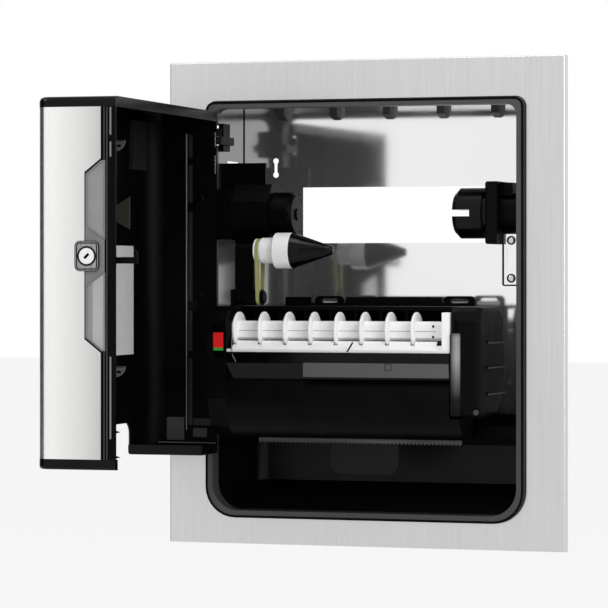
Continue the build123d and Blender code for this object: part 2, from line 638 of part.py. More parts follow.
def stub_cone():
    start = pulley_right() + STUB_BODY_LENGTH + STUB_COLLAR_LENGTH
    end = start + STUB_CONE_LENGTH
    cone = cone_x(start, end, ARM_PIVOT_Y, ARM_TOP_Z, STUB_COLLAR_RADIUS, STUB_TIP_RADIUS)
    cone = fillet(cone.faces().sort_by(Axis.X)[-1].edges(), STUB_TIP_RADIUS * 0.8)
    slope = (STUB_COLLAR_RADIUS - STUB_TIP_RADIUS) / STUB_CONE_LENGTH
    middle = FLUTE_START + FLUTE_LENGTH / 2
    flute = Rot(0, 90 + degrees(atan(slope)), 0) * Cylinder(FLUTE_RADIUS, FLUTE_LENGTH)
    flute = Pos(start + middle, 0, STUB_COLLAR_RADIUS - slope * middle) * flute
    for index in range(FLUTE_COUNT):
        turned = Rot(360 / FLUTE_COUNT * index, 0, 0) * flute
        cone -= Pos(0, ARM_PIVOT_Y, ARM_TOP_Z) * turned
    return cone


# Paper feed module

def involute_gear(teeth, x0, y, z, bore, phase):
    """Spur gear with straight-chord involute flanks, tooth space on the phase angle."""
    pitch = GEAR_MODULE * teeth / 2
    base = pitch * cos(radians(PRESSURE_ANGLE))
    tip, root = pitch + GEAR_MODULE * 0.95, pitch - GEAR_MODULE * 1.2
    backlash = 0.12
    inv_pitch = tan(radians(PRESSURE_ANGLE)) - radians(PRESSURE_ANGLE)
    half_pitch = pi / 2 / teeth - backlash / pitch
    steps = 4
    points = []
    for tooth in range(teeth):
        centre = 2 * pi * (tooth + 0.5) / teeth + radians(phase)
        flank = []
        for step in range(steps + 1):
            radius = max(base, root) + (tip - max(base, root)) * step / steps
            roll = sqrt(max((radius / base) ** 2 - 1, 0))
            angle = half_pitch + inv_pitch - (roll - atan(roll))
            flank.append((radius, angle))
        points.append((root, centre - flank[0][1]))
        points += [(radius, centre - angle) for radius, angle in flank]
        points += [(radius, centre + angle) for radius, angle in reversed(flank)]
        points.append((root, centre + flank[0][1]))
    outline = [(y + radius * cos(angle), z + radius * sin(angle)) for radius, angle in points]
    gear = yz_prism(x0, x0 + GEAR_WIDTH, outline)
    return gear - rod_x(x0 - 1, x0 + GEAR_WIDTH + 1, y, z, bore)


def drum_gear():
    line = 180 - GEAR_ANGLE
    return involute_gear(DRUM_TEETH, GEAR_X, DRUM_Y, DRUM_Z, SHAFT_RADIUS, line)


def roller_gear():
    line = -GEAR_ANGLE + 180 / ROLLER_TEETH
    return involute_gear(ROLLER_TEETH, GEAR_X, ROLLER_Y, ROLLER_Z, SHAFT_RADIUS, line)


def drum_shaft():
    return rod_x(LEFT_INNER - 14, GEAR_X + GEAR_WIDTH + 8, DRUM_Y, DRUM_Z, SHAFT_RADIUS)


def cutting_drum():
    left, right = LEFT_INNER + 2, RIGHT_INNER - 2
    drum = rod_x(left, right, DRUM_Y, DRUM_Z, DRUM_RADIUS)
    drum -= rod_x(left - 1, right + 1, DRUM_Y, DRUM_Z, SHAFT_RADIUS)
    slot_half = 3.0
    return drum - block(left - 1, right + 1, DRUM_Y - slot_half, DRUM_Y + slot_half,
                        DRUM_Z - DRUM_RADIUS - 1, DRUM_Z - DRUM_RADIUS + 14)


def knife_blade():
    left, right = LEFT_INNER + 6, RIGHT_INNER - 6
    edge, root, half = DRUM_Z - DRUM_RADIUS + 1, DRUM_Z - DRUM_RADIUS + 14, 0.5
    blade = block(left, right, DRUM_Y - half, DRUM_Y + half, edge, root)
    count = int((right - left) / TEAR_PITCH)
    cuts = [
        Pos(left + (index + 0.5) * TEAR_PITCH, DRUM_Y, edge) * Rot(0, 45, 0)
        * Box(1.6, 4, 1.6) for index in range(count)]
    return blade - cuts


def disc_roller():
    left, right = LEFT_INNER + FIT_GAP, ROLLER_RIGHT
    bar = block(left, right, ROLLER_Y - ROLLER_BAR / 2, ROLLER_Y + ROLLER_BAR / 2,
                ROLLER_Z - ROLLER_BAR / 2, ROLLER_Z + ROLLER_BAR / 2)
    roller = chamfer(bar.edges().filter_by(Axis.X), 3.0)
    for index in range(DISC_COUNT):
        x = FIRST_DISC_X + index * DISC_PITCH
        disc = rod_x(x, x + DISC_THICK, ROLLER_Y, ROLLER_Z, DISC_RADIUS)
        roller += fillet(disc.edges().filter_by(GeomType.CIRCLE), 1.0)
    return roller - rod_x(left - 1, right + 1, ROLLER_Y, ROLLER_Z, SHAFT_RADIUS)


def roller_axle():
    return rod_x(LEFT_INNER - 14, GEAR_X + GEAR_WIDTH + 8, ROLLER_Y, ROLLER_Z, SHAFT_RADIUS)


def bush(x0, x1, y, z):
    outer = SHAFT_RADIUS + 3
    ring = rod_x(x0, x1, y, z, outer)
    return ring - rod_x(x0 - 1, x1 + 1, y, z, SHAFT_RADIUS + RUNNING_FIT)


def shaft_bushes():
    bushes = []
    for y, z in ((ROLLER_Y, ROLLER_Z), (DRUM_Y, DRUM_Z)):
        bushes.append(bush(LEFT_INNER - 8, LEFT_INNER, y, z))
        bushes.append(bush(RIGHT_INNER, RIGHT_INNER + WALL, y, z))
    return group(bushes)


def side_outline(front, rear, bottom, top, nose, toe):
    """Side view of a module end: sloped nose at the top front, toe at the bottom."""
    return [(rear, bottom), (rear, top), (front + nose, top), (front + nose * 0.35, top - nose * 0.3),
            (front, top - nose), (front, bottom + toe), (front + toe * 0.3, bottom + toe * 0.3),
            (front + toe, bottom)]


def bush_holes(x0, x1):
    holes = []
    for y, z in ((ROLLER_Y, ROLLER_Z), (DRUM_Y, DRUM_Z)):
        holes.append(rod_x(x0, x1, y, z, SHAFT_RADIUS + 3))
    return holes


def left_end_housing():
    shape = yz_prism(MODULE_LEFT, LEFT_INNER, side_outline(
        MODULE_FRONT, MODULE_REAR, MODULE_BOTTOM, MODULE_TOP, MODULE_NOSE, 40))
    slot = block(MODULE_LEFT + 6, LEFT_INNER - 2.7, MODULE_FRONT - 1, MODULE_FRONT + 6,
                 FLAG_BOTTOM - FLAG_TRAVEL - 1, FLAG_BOTTOM + 2 * FLAG_HEIGHT + FLAG_TRAVEL + 1)
    hollow = block(MODULE_LEFT - 1, LEFT_INNER - 8, MODULE_FRONT + 12, MODULE_REAR - WALL,
                   MODULE_BOTTOM + 20, MODULE_TOP - 20)
    return shape - slot - hollow - bush_holes(LEFT_INNER - 15, LEFT_INNER + 1)


def indicator_flag(index):
    """One colour of the roll indicator, in the slot of the left end housing."""
    low = FLAG_BOTTOM + index * FLAG_HEIGHT
    return block(MODULE_LEFT + 6 + FIT_GAP, LEFT_INNER - 3, MODULE_FRONT + 0.5,
                 MODULE_FRONT + 5.5, low, low + FLAG_HEIGHT)


def gear_case_solid(x0, x1, inset):
    """The gear case's side view, crowned at the top rear, as a prism along X."""
    front, rear, bulge = MODULE_FRONT + inset, GEAR_CASE_REAR - inset, GEAR_BULGE_REAR - inset
    top, bottom = MODULE_TOP - inset, GEAR_CASE_BOTTOM + inset
    slope, toe = MODULE_NOSE * 0.3, GEAR_CASE_TOE * 0.3
    crown = GEAR_CASE_CROWN - inset
    solid = yz_prism(x0, x1, [
        (rear, GEAR_BULGE_TOP), (rear, top), (front + MODULE_NOSE, top),
        (front + slope, top - slope), (front, top - MODULE_NOSE),
        (front, bottom + GEAR_CASE_TOE), (front + toe, bottom + toe),
        (front + GEAR_CASE_TOE, bottom), (GEAR_BULGE_TOE - inset, bottom),
        (bulge, GEAR_BULGE_BOTTOM + inset), (bulge, GEAR_BULGE_TOP - (GEAR_BULGE_REAR - GEAR_CASE_REAR))])
    corner = solid.edges().filter_by(Axis.X).filter_by_position(
        Axis.Y, rear - 0.1, rear + 0.1).group_by(Axis.Z)[-1]
    return fillet(corner, crown)


def right_gear_housing():
    """Case shell, open to the right, with a rounded front left edge."""
    right = GEAR_CASE_RIGHT - GEAR_COVER_DEPTH
    inner = RIGHT_INNER + WALL
    shape = gear_case_solid(RIGHT_INNER, right, 0)
    front = shape.edges().filter_by(Axis.Z).filter_by_position(
        Axis.Y, MODULE_FRONT - 0.1, MODULE_FRONT + 0.1).sort_by(Axis.X)[0]
    shape = fillet(front, GEAR_CASE_FRONT_ROUND)
    void = gear_case_solid(inner, right + 1, WALL)
    front = void.edges().filter_by(Axis.Z).filter_by_position(
        Axis.Y, MODULE_FRONT + WALL - 0.1, MODULE_FRONT + WALL + 0.1).sort_by(Axis.X)[0]
    void = fillet(front, GEAR_CASE_FRONT_ROUND - WALL)
    return shape - void - bush_holes(RIGHT_INNER - 1, inner)


def gear_cover():
    """Cap on the case's right side, with three low ribs."""
    right, left = GEAR_CASE_RIGHT, GEAR_CASE_RIGHT - GEAR_COVER_DEPTH
    cover = gear_case_solid(left, right, 0)
    cover = fillet(cover.faces().sort_by(Axis.X)[-1].edges(), GEAR_CASE_SIDE_ROUND)
    void = gear_case_solid(left - 1, right - WALL, WALL)
    void = fillet(void.faces().sort_by(Axis.X)[-1].edges(), GEAR_CASE_SIDE_ROUND - WALL)
    cover -= void
    for level in CASE_RIB_LEVELS:
        cover += block(right - WALL / 2, right + CASE_RIB_PROUD, ROLLER_Y,
                       GEAR_CASE_REAR - GEAR_CASE_SIDE_ROUND, level, level + CASE_RIB_HEIGHT)
    return cover


def module_shell():
    """Black channel behind the drum: floor, rear wall and deck."""
    left, right = LEFT_INNER, RIGHT_INNER
    thick = 2.5
    floor = block(left, right, 4.0, MODULE_REAR, MODULE_BOTTOM, MODULE_BOTTOM + thick)
    rear = block(left, right, MODULE_REAR - thick, MODULE_REAR, MODULE_BOTTOM, MODULE_TOP)
    deck = block(left, right, 6.0, MODULE_REAR, MODULE_TOP - 4.0, MODULE_TOP)
    return floor + rear + deck


def guide_comb():
    """Fingers under the deck's front edge, one pair in each gap between discs."""
    bar = block(LEFT_INNER, RIGHT_INNER, -4.0, 6.0, MODULE_TOP - 4.0, MODULE_TOP)
    for index in range(DISC_COUNT - 1):
        middle = FIRST_DISC_X + DISC_THICK / 2 + (index + 0.5) * DISC_PITCH
        for side in (-1, 1):
            x = middle + side * 5.0
            bar += block(x - 1.5, x + 1.5, -2.0, 4.0, MODULE_TOP - 14.0, MODULE_TOP - 3.0)
    return bar


def roller_tray():
    """White trough under the disc roller, with an end plate past the roller's right end."""
    front, back = MODULE_FRONT + 2.0, DRUM_Y - DRUM_RADIUS + 1.0
    low, thick = ROLLER_Z - DISC_RADIUS - 1.0, 1.5
    trough = yz_prism(LEFT_INNER, RIGHT_INNER, [
        (front, low - thick), (front, low + thick), (front + 3.0, low),
        (back, low), (back, low - thick)])
    return trough + block(RIGHT_INNER - ROLLER_END_PLATE, RIGHT_INNER, front,
                          ROLLER_Y - DISC_RADIUS / 2, low - thick, ROLLER_Z + DISC_RADIUS)


def roller_rail():
    """Black rail with its sloped lower strip, across the module's front."""
    low = ROLLER_Z - DISC_RADIUS - 2.5
    return yz_prism(LEFT_INNER, RIGHT_INNER, [
        (MODULE_FRONT, low), (MODULE_FRONT + 12, low), (MODULE_FRONT + 12, COVER_TOP + FIT_GAP),
        (MODULE_FRONT + 8, COVER_TOP + FIT_GAP), (MODULE_FRONT, low - 11)])


def lower_cover():
    """Convex front cover with a closed right end."""
    rear = 4.0
    outer = cover_section(0.0, rear, LEFT_INNER, LOWER_RIGHT)
    inner = cover_section(WALL, rear + 1, LEFT_INNER - 1, LOWER_RIGHT - WALL)
    outer -= inner
    outer -= block(LEFT_INNER - 1, RIGHT_INNER, DRUM_Y - DRUM_RADIUS - 4, rear + 1,
                   COVER_TOP - 2 * WALL, COVER_TOP + 1)
    outer -= block(LEFT_INNER + 8, RIGHT_INNER, TEAR_BAR_Y + 2.5, rear + 1,
                   MODULE_BOTTOM - 1, MODULE_BOTTOM + WALL + 1)
    return outer - block(RIGHT_INNER - FIT_GAP, LOWER_RIGHT + 1, MODULE_FRONT - 1, rear + 1,
                         GEAR_CASE_BOTTOM - FIT_GAP, COVER_TOP + 1)


def cover_section(inset, rear, x0, x1):
    top, bottom = COVER_TOP - inset, MODULE_BOTTOM + inset
    front = MODULE_FRONT + 8 + inset
    bulge = MODULE_FRONT + inset
    toe = -16.0 + inset
    lines = [Line((x0, rear, bottom), (x0, rear, top)), Line((x0, rear, top), (x0, front, top)),
             ThreePointArc((x0, front, top), (x0, bulge, (top + bottom) / 2 + 6),
                           (x0, toe, bottom)),
             Line((x0, toe, bottom), (x0, rear, bottom))]
    return extrude(make_face(Wire(lines)), amount=x1 - x0, dir=(1, 0, 0))


def tear_bar():
    y0, y1, tooth = TEAR_BAR_Y, TEAR_BAR_Y + TEAR_BAR_THICK, 2.0
    low, high = MODULE_BOTTOM - 5.5, MODULE_BOTTOM
    bar = block(-TEAR_BAR_HALF, TEAR_BAR_HALF, y0, y1, low, high)
    count = int(2 * TEAR_BAR_HALF / TEAR_PITCH)
    side = tooth * 2 / sqrt(2)
    cuts = [Pos(-TEAR_BAR_HALF + index * TEAR_PITCH, y0, low) * Rot(0, 45, 0)
            * Box(side, 6, side) for index in range(count + 1)]
    return bar - cuts


def paper_tongue():
    """U-shaped flap that hangs below the module's floor."""
    y0, y1, low, high = 4.0, 6.0, TONGUE_BOTTOM, MODULE_BOTTOM
    flap = block(-TONGUE_HALF, TONGUE_HALF, y0, y1, low, high)
    corners = flap.edges().filter_by(Axis.Y).group_by(Axis.Z)[0]
    return fillet(corners, 10.0)


def rear_rail():
    """Rail on the deck with raised blocks and two slotted ears."""
    y0, y1, base = RAIL_FRONT, RAIL_REAR, MODULE_TOP
    left = LEFT_INNER + RAIL_LEFT_INSET
    rail = block(left, RIGHT_INNER - RAIL_RIGHT_INSET, y0, y1, base, base + RAIL_LOW)
    for x0, x1 in RAIL_BLOCK_ENDS:
        rail += block(left + x0, left + x1, y0, y1, base, base + RAIL_HIGH)
    for x0, x1 in RAIL_EAR_ENDS:
        ear = block(left + x0, left + x1, y0, y1, base, base + RAIL_HIGH + 1)
        ear = fillet(ear.edges().filter_by(Axis.Y).group_by(Axis.Z)[-1], 5.0)
        middle = base + RAIL_HIGH / 2 + 0.7
        slot = block(left + x0 + RAIL_EAR_BORDER, left + x1 - RAIL_EAR_BORDER, y0 - 1, y1 + 1,
                     middle - RAIL_SLOT_HALF, middle + RAIL_SLOT_HALF)
        rail += ear - fillet(slot.edges().filter_by(Axis.Y), 2.0)
    return rail


def module_brackets():
    """Feet that carry the module on the recess's side walls."""
    y0, y1, low = 42.0, MODULE_REAR - WALL, MODULE_BOTTOM
    left = block(-HALF_OPENING, MODULE_LEFT, y0, y1, low, low + 16)
    right = block(RIGHT_INNER, HALF_OPENING, y0, y1, low, low + 10)
    return group([left, right])


# Latch keeper, hinge brackets and pins

def latch_keeper():
    half_slot, slot_x = 3.0, LATCH_X + LATCH_THICK / 2
    edge = BEZEL_INNER - 0.5
    leg = edge - KEEPER_THICK
    foot = KEEPER_Y + 14
    plate = block(slot_x - 7, edge, KEEPER_Y, KEEPER_Y + KEEPER_THICK, KEEPER_BOTTOM, KEEPER_TOP)
    plate += block(leg, edge, KEEPER_Y, foot + KEEPER_THICK, KEEPER_BOTTOM, KEEPER_TOP)
    plate += block(leg, HALF_OPENING, foot, foot + KEEPER_THICK, KEEPER_BOTTOM, KEEPER_TOP)
    slot = block(slot_x - half_slot, slot_x + half_slot, KEEPER_Y - 1,
                 KEEPER_Y + KEEPER_THICK + 1, LOCK_Z - 9.5, LOCK_Z + 9)
    for x, z in keeper_screw_places():
        plate -= rod_y(x, KEEPER_Y - 1, KEEPER_Y + KEEPER_THICK + 1, z, KEEPER_SCREW_SHANK)
    return plate - slot


def keeper_screw_places():
    middle = (KEEPER_BOTTOM + KEEPER_TOP) / 2
    x = LATCH_X + LATCH_THICK / 2 + 1.5
    return [(x, middle + side * KEEPER_SCREW_SPACING / 2) for side in (-1, 1)]


def keeper_screws():
    screws = []
    for x, z in keeper_screw_places():
        head = rod_y(x, KEEPER_Y - 1.6, KEEPER_Y, z, KEEPER_SCREW_HEAD)
        head = fillet(head.faces().sort_by(Axis.Y)[0].edges(), 0.8)
        screws.append(head + rod_y(x, KEEPER_Y - 1, KEEPER_Y + KEEPER_THICK + 2, z,
                                   KEEPER_SCREW_SHANK))
    return group(screws)


def hinge_levels():
    return (HINGE_BOTTOM_Z, HINGE_TOP_Z)


def hinge_brackets():
    brackets = []
    leaf_front = BEZEL_BACK + 1
    leaf_rear = leaf_front + 20
    for z in hinge_levels():
        top = z + HINGE_EAR_HEIGHT
        ear = rod_z(HINGE_X, HINGE_Y, z, top, HINGE_EAR_RADIUS)
        ear += block(HINGE_X - HINGE_EAR_RADIUS, HINGE_X + HINGE_EAR_RADIUS,
                     HINGE_Y, leaf_rear, z, top)
        ear += block(-HALF_OPENING, HINGE_X, leaf_front, leaf_rear, z - 6, top + 14)
        brackets.append(ear - rod_z(HINGE_X, HINGE_Y, z - 1, top + 1, HINGE_PIN_RADIUS))
    return group(brackets)


def hinge_pins():
    return group([rod_z(HINGE_X, HINGE_Y, z - 1, z + 2 * HINGE_EAR_HEIGHT + 3, HINGE_PIN_RADIUS)
                  for z in hinge_levels()])


# Door, in its closed place

def swing(shape):
    """Turn a door piece from closed to the photographed open place."""
    turned = Pos(-HINGE_X, -HINGE_Y, 0) * shape
    return Pos(HINGE_X, HINGE_Y, 0) * (Rot(0, 0, -OPEN_ANGLE) * turned)


def tub(inset, rear, z0, z1):
    shape = block(DOOR_LEFT + inset, DOOR_RIGHT - inset, DOOR_FRONT + inset, rear, z0, z1)
    front = shape.edges().filter_by(Axis.Z).group_by(Axis.Y)[0].sort_by(Axis.X)
    shape = fillet(front[0], HINGE_CORNER - inset)
    front = shape.edges().filter_by(Axis.Z).filter_by_position(
        Axis.Y, DOOR_FRONT, DOOR_FRONT + inset + 0.01).sort_by(Axis.X)
    return fillet(front[-1], FREE_CORNER - inset)


def arch_cut():
    cut = block(ARCH_LEFT, ARCH_RIGHT, DOOR_FRONT - 1, DOOR_REAR + 1, DOOR_BOTTOM - 1, ARCH_TOP)
    return fillet(cut.edges().filter_by(Axis.Y).group_by(Axis.Z)[-1], ARCH_CORNER)


def free_side_prism(x0, points):
    return yz_prism(x0, DOOR_RIGHT + 1, points)


def notch_cut():
    deep, shallow = SKIN_REAR - NOTCH_DEPTH, SKIN_REAR + 1
    return free_side_prism(DOOR_RIGHT - FREE_CORNER / 2, [
        (shallow, NOTCH_BOTTOM), (SKIN_REAR, NOTCH_BOTTOM), (deep, NOTCH_BOTTOM + NOTCH_SLOPE),
        (deep, NOTCH_TOP - NOTCH_SLOPE), (SKIN_REAR, NOTCH_TOP), (shallow, NOTCH_TOP)])


def pane_outlines():
    """Upper and lower window outlines, inside the notch, above and below the lock."""
    deep, rear = SKIN_REAR - NOTCH_DEPTH + FIT_GAP, SKIN_REAR + 3.8
    mid = LOCK_PLATE_Z / 2 + 1.5
    outlines = []
    for sign, end in ((1, NOTCH_TOP - 1.5), (-1, NOTCH_BOTTOM + 1.5)):
        near = LOCK_Z + sign * mid
        outlines.append([(rear, near), (rear - 2, near), (deep, near + sign * NOTCH_SLOPE),
                         (deep, end - sign * NOTCH_SLOPE), (SKIN_REAR, end), (rear, end)])
    return outlines


def door_skin():
    skin = tub(0, SKIN_REAR, SKIN_BOTTOM, SKIN_TOP)
    skin -= tub(SKIN, SKIN_REAR + 1, SKIN_BOTTOM - 1, SKIN_TOP + 1)
    lock_hole = rod_x(DOOR_RIGHT - 2, DOOR_RIGHT + 1, LOCK_Y, LOCK_Z, LOCK_RADIUS)
    return skin - arch_cut() - notch_cut() - lock_hole


def door_liner():
    liner = tub(SKIN, DOOR_REAR, SKIN_BOTTOM, SKIN_TOP)
    liner -= tub(LINER_INNER, DOOR_REAR + 1, SKIN_BOTTOM - 1, SKIN_TOP + 1)
    for z in hinge_levels():
        low = z + HINGE_EAR_HEIGHT + FIT_GAP
        ear = rod_z(HINGE_X, HINGE_Y, low, low + HINGE_EAR_HEIGHT, HINGE_EAR_RADIUS)
        ear += block(HINGE_X, DOOR_LEFT + LINER_INNER, HINGE_Y - HINGE_EAR_RADIUS,
                     DOOR_REAR, low, low + HINGE_EAR_HEIGHT)
        liner += ear
        liner -= rod_z(HINGE_X, HINGE_Y, z - 3, low, HINGE_EAR_RADIUS + 2 * FIT_GAP)
        liner -= rod_z(HINGE_X, HINGE_Y, z - 3, low + HINGE_EAR_HEIGHT + 3,
                       HINGE_PIN_RADIUS + RUNNING_FIT)
    for outline in pane_outlines():
        liner -= free_side_prism(DOOR_RIGHT - FREE_CORNER / 2, outline)
    liner += hinge_wall_strip()
    liner += lock_surround()
    return liner - arch_cut() - rod_x(DOOR_RIGHT - 8, DOOR_RIGHT, LOCK_Y, LOCK_Z, LOCK_RADIUS)


def hinge_wall_strip():
    x = DOOR_LEFT + LINER_INNER
    return block(x, x + 1.2, -38.0, -29.0, SKIN_BOTTOM + 12, SKIN_TOP - 12)


def door_top_cap():
    cap = tub(0, DOOR_REAR, SKIN_TOP, DOOR_TOP)
    edges = cap.faces().sort_by(Axis.Z)[-1].edges()
    cap = fillet(edges.filter_by_position(Axis.Y, DOOR_FRONT - 1, DOOR_REAR - 1), 5.0)
    return cap - tub(LINER_INNER, DOOR_REAR - LINER_WALL, SKIN_TOP - 1, DOOR_TOP - LINER_WALL)


def door_bottom_caps():
    """The two legs' feet, either side of the arch."""
    cap = tub(0, DOOR_REAR, DOOR_BOTTOM, SKIN_BOTTOM)
    edges = cap.faces().sort_by(Axis.Z)[0].edges()
    cap = fillet(edges.filter_by_position(Axis.Y, DOOR_FRONT - 1, DOOR_REAR - 1), 3.0)
    cap -= block(ARCH_LEFT, ARCH_RIGHT, DOOR_FRONT - 1, DOOR_REAR + 1, DOOR_BOTTOM - 1, ARCH_TOP)
    hollow = tub(LINER_INNER, DOOR_REAR - LINER_WALL, DOOR_BOTTOM + LINER_WALL, SKIN_BOTTOM + 1)
    leg = block(DOOR_LEFT, ARCH_LEFT - LINER_WALL, DOOR_FRONT, DOOR_REAR, DOOR_BOTTOM,
                SKIN_BOTTOM + 1)
    return cap - (hollow & leg)


def window_panes():
    x0, x1 = DOOR_RIGHT - LINER_INNER, DOOR_RIGHT - 0.2
    return group([yz_prism(x0, x1, outline) for outline in pane_outlines()])


def lock_surround():
    half = LOCK_PLATE_Z / 2 + 1.0
    pad = block(DOOR_RIGHT - SKIN, DOOR_RIGHT, SKIN_REAR - NOTCH_DEPTH + FIT_GAP,
                SKIN_REAR - FIT_GAP, LOCK_Z - half, LOCK_Z + half)
    return pad - rod_x(DOOR_RIGHT - 2, DOOR_RIGHT + 1, LOCK_Y, LOCK_Z, LOCK_RADIUS)


def lock_plate():
    plate = block(DOOR_RIGHT, DOOR_RIGHT + 1.4, LOCK_Y - LOCK_PLATE_Y / 2,
                  LOCK_Y + LOCK_PLATE_Y / 2, LOCK_Z - LOCK_PLATE_Z / 2, LOCK_Z + LOCK_PLATE_Z / 2)
    plate = fillet(plate.edges().filter_by(Axis.X), 5.0)
    return plate - rod_x(DOOR_RIGHT - 1, DOOR_RIGHT + 2, LOCK_Y, LOCK_Z, LOCK_RADIUS)


def lock_body():
    front, rear = DOOR_RIGHT + 1.8, DOOR_RIGHT - 5.0
    body = rod_x(rear, front, LOCK_Y, LOCK_Z, LOCK_RADIUS)
    body = body - rod_x(rear - 1, front + 1, LOCK_Y, LOCK_Z, PLUG_RADIUS + RUNNING_FIT)
    return body


def lock_plug():
    """Turning plug with its keyway and the cam that lifts the latch."""
    front, rear = DOOR_RIGHT + 1.8, DOOR_RIGHT - 5.2
    plug = rod_x(rear, front, LOCK_Y, LOCK_Z, PLUG_RADIUS)
    keyway = Rot(45, 0, 0) * Box(6.0, 6.0, 2.6)
    plug -= Pos(front, LOCK_Y, LOCK_Z) * keyway
    cam = block(rear - CAM_THICK, rear, LOCK_Y - CAM_HALF_WIDTH, LOCK_Y + CAM_HALF_WIDTH,
                LOCK_Z - CAM_LENGTH, LOCK_Z)
    return plug + cam + rod_x(rear - CAM_THICK, rear, LOCK_Y, LOCK_Z, PLUG_RADIUS)


def latch_bolt():
    """Sliding bar whose hook goes through the keeper's slot."""
    x0, x1 = LATCH_X, LATCH_X + LATCH_THICK
    low = LOCK_Z - LATCH_DROP
    high = low + LATCH_HEIGHT
    hook = KEEPER_Y + KEEPER_THICK + 0.5
    return yz_prism(x0, x1, [
        (LOCK_Y, low), (hook + 2.6, low), (hook + 2.6, high + 4), (hook, high + 7),
        (hook, high), (LOCK_Y, high)])


def latch_guides():
    low = LOCK_Z - LATCH_DROP - FIT_GAP
    high = low + LATCH_HEIGHT + LATCH_TRAVEL + 2 * FIT_GAP
    guides = []
    for y in (LOCK_Y + 11, DOOR_REAR - 7):
        guide = block(LATCH_X - 2, DOOR_RIGHT - LINER_INNER, y, y + 4, low - 3, high + 3)
        slot = block(LATCH_X - FIT_GAP, LATCH_X + LATCH_THICK + FIT_GAP, y - 1, y + 5, low, high)
        guides.append(guide - slot)
    return group(guides)


def info_label():
    y, left = DOOR_FRONT + LINER_INNER, DOOR_LEFT + LABEL_INSET
    return block(left, left + LABEL_WIDTH, y, y + LABEL_THICK,
                 LABEL_BOTTOM, LABEL_BOTTOM + LABEL_HEIGHT)


def liner_clips():
    """Two quarter-round clips that stand up from the front panel's inner face."""
    y, x = DOOR_FRONT + LINER_INNER, DOOR_LEFT + DOOR_RIB_INSET
    reach = DOOR_CLIP_RADIUS + 1
    clips = []
    for z in DOOR_CLIP_LEVELS:
        disc = rod_x(x, x + DOOR_RIB_THICK, y, z, DOOR_CLIP_RADIUS)
        clips.append(disc & block(x - 1, x + DOOR_RIB_THICK + 1, y, y + reach, z - reach, z))
    return group(clips)


def door_guide_bar():
    """Bar with a flared foot, down the front panel's inner face beside the hinge corner."""
    y, top = DOOR_FRONT + LINER_INNER, SKIN_TOP - FIT_GAP
    left, right = DOOR_LEFT + GUIDE_BAR_LEFT, DOOR_LEFT + GUIDE_BAR_RIGHT
    knee = GUIDE_BAR_BOTTOM + GUIDE_BAR_FOOT
    outline = Polyline((left, y, top), (right, y, top), (right, y, knee),
                       (right + GUIDE_BAR_FLARE, y, GUIDE_BAR_BOTTOM),
                       (left, y, GUIDE_BAR_BOTTOM), close=True)
    bar = extrude(make_face(outline), amount=GUIDE_BAR_DEPTH, dir=(0, 1, 0))
    return bar & tub(LINER_INNER + RUNNING_FIT, DOOR_REAR, SKIN_BOTTOM, SKIN_TOP)


CABINET_PIECES = {
    "trim_frame": trim_frame,
    "bezel_ring": bezel_ring,
    "recess_back": recess_back,
    "recess_left": lambda: recess_side(-1),
    "recess_right": lambda: recess_side(1),
    "recess_top": lambda: recess_cap(BEZEL_BACK, CEILING),
    "recess_floor": lambda: recess_cap(WALL_FRONT, FLOOR),
    "recess_clips": recess_clips,
    "chute_liner": chute_liner,
    "left_hub_carrier": left_hub_carrier,
    "left_hub": left_hub,
    "left_plunger": left_plunger,
    "left_hub_spring": left_spring,
    "right_hub_carrier": right_hub_carrier,
    "right_hub": right_hub,
    "stub_arm_bracket": stub_arm_bracket,
    "stub_arm": stub_arm,
    "stub_belt_pulley": lower_pulley,
    "stub_drive_belt": drive_belt,
    "stub_spindle": stub_spindle,
    "stub_cone": stub_cone,
    "drum_gear": drum_gear,
    "roller_gear": roller_gear,
    "drum_shaft": drum_shaft,
    "cutting_drum": cutting_drum,
    "knife_blade": knife_blade,
    "disc_roller": disc_roller,
    "roller_axle": roller_axle,
    "shaft_bushes": shaft_bushes,
    "left_end_housing": left_end_housing,
    "indicator_green": lambda: indicator_flag(0),
    "indicator_red": lambda: indicator_flag(1),
    "right_gear_housing": right_gear_housing,
    "gear_cover": gear_cover,
    "module_shell": module_shell,
    "module_brackets": module_brackets,
    "guide_comb": guide_comb,
    "roller_tray": roller_tray,
    "roller_rail": roller_rail,
    "lower_cover": lower_cover,
    "tear_bar": tear_bar,
    "paper_tongue": paper_tongue,
    "rear_rail": rear_rail,
    "latch_keeper": latch_keeper,
    "keeper_screws": keeper_screws,
    "hinge_brackets": hinge_brackets,
    "hinge_pins": hinge_pins,
}

DOOR_PIECES = {
    "door_skin": door_skin,
    "door_liner": door_liner,
    "door_top_cap": door_top_cap,
    "door_bottom_caps": door_bottom_caps,
    "window_panes": window_panes,
    "lock_plate": lock_plate,
    "lock_body": lock_body,
    "lock_plug": lock_plug,
    "latch_bolt": latch_bolt,
    "latch_guides": latch_guides,
    "info_label": info_label,
    "liner_clips": liner_clips,
    "door_guide_bar": door_guide_bar,
}

os.makedirs("parts", exist_ok=True)
for node, build_piece in CABINET_PIECES.items():
    send_out(node, build_piece())
for node, build_piece in DOOR_PIECES.items():
    send_out(node, swing(build_piece()))
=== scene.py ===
import bmesh
import bpy
import json
from math import cos, pi, radians, sin
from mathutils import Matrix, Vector


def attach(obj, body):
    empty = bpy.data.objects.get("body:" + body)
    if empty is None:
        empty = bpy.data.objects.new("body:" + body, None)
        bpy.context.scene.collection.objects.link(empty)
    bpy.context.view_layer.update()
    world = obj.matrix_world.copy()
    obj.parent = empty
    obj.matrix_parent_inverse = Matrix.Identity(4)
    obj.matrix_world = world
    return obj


# Looks of the recessed roll towel dispenser. Metres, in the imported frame:
# X right, Y into the wall, Z up. The helpers below take plate millimetres,
# measured from the trim plate's middle, front face and lower edge.

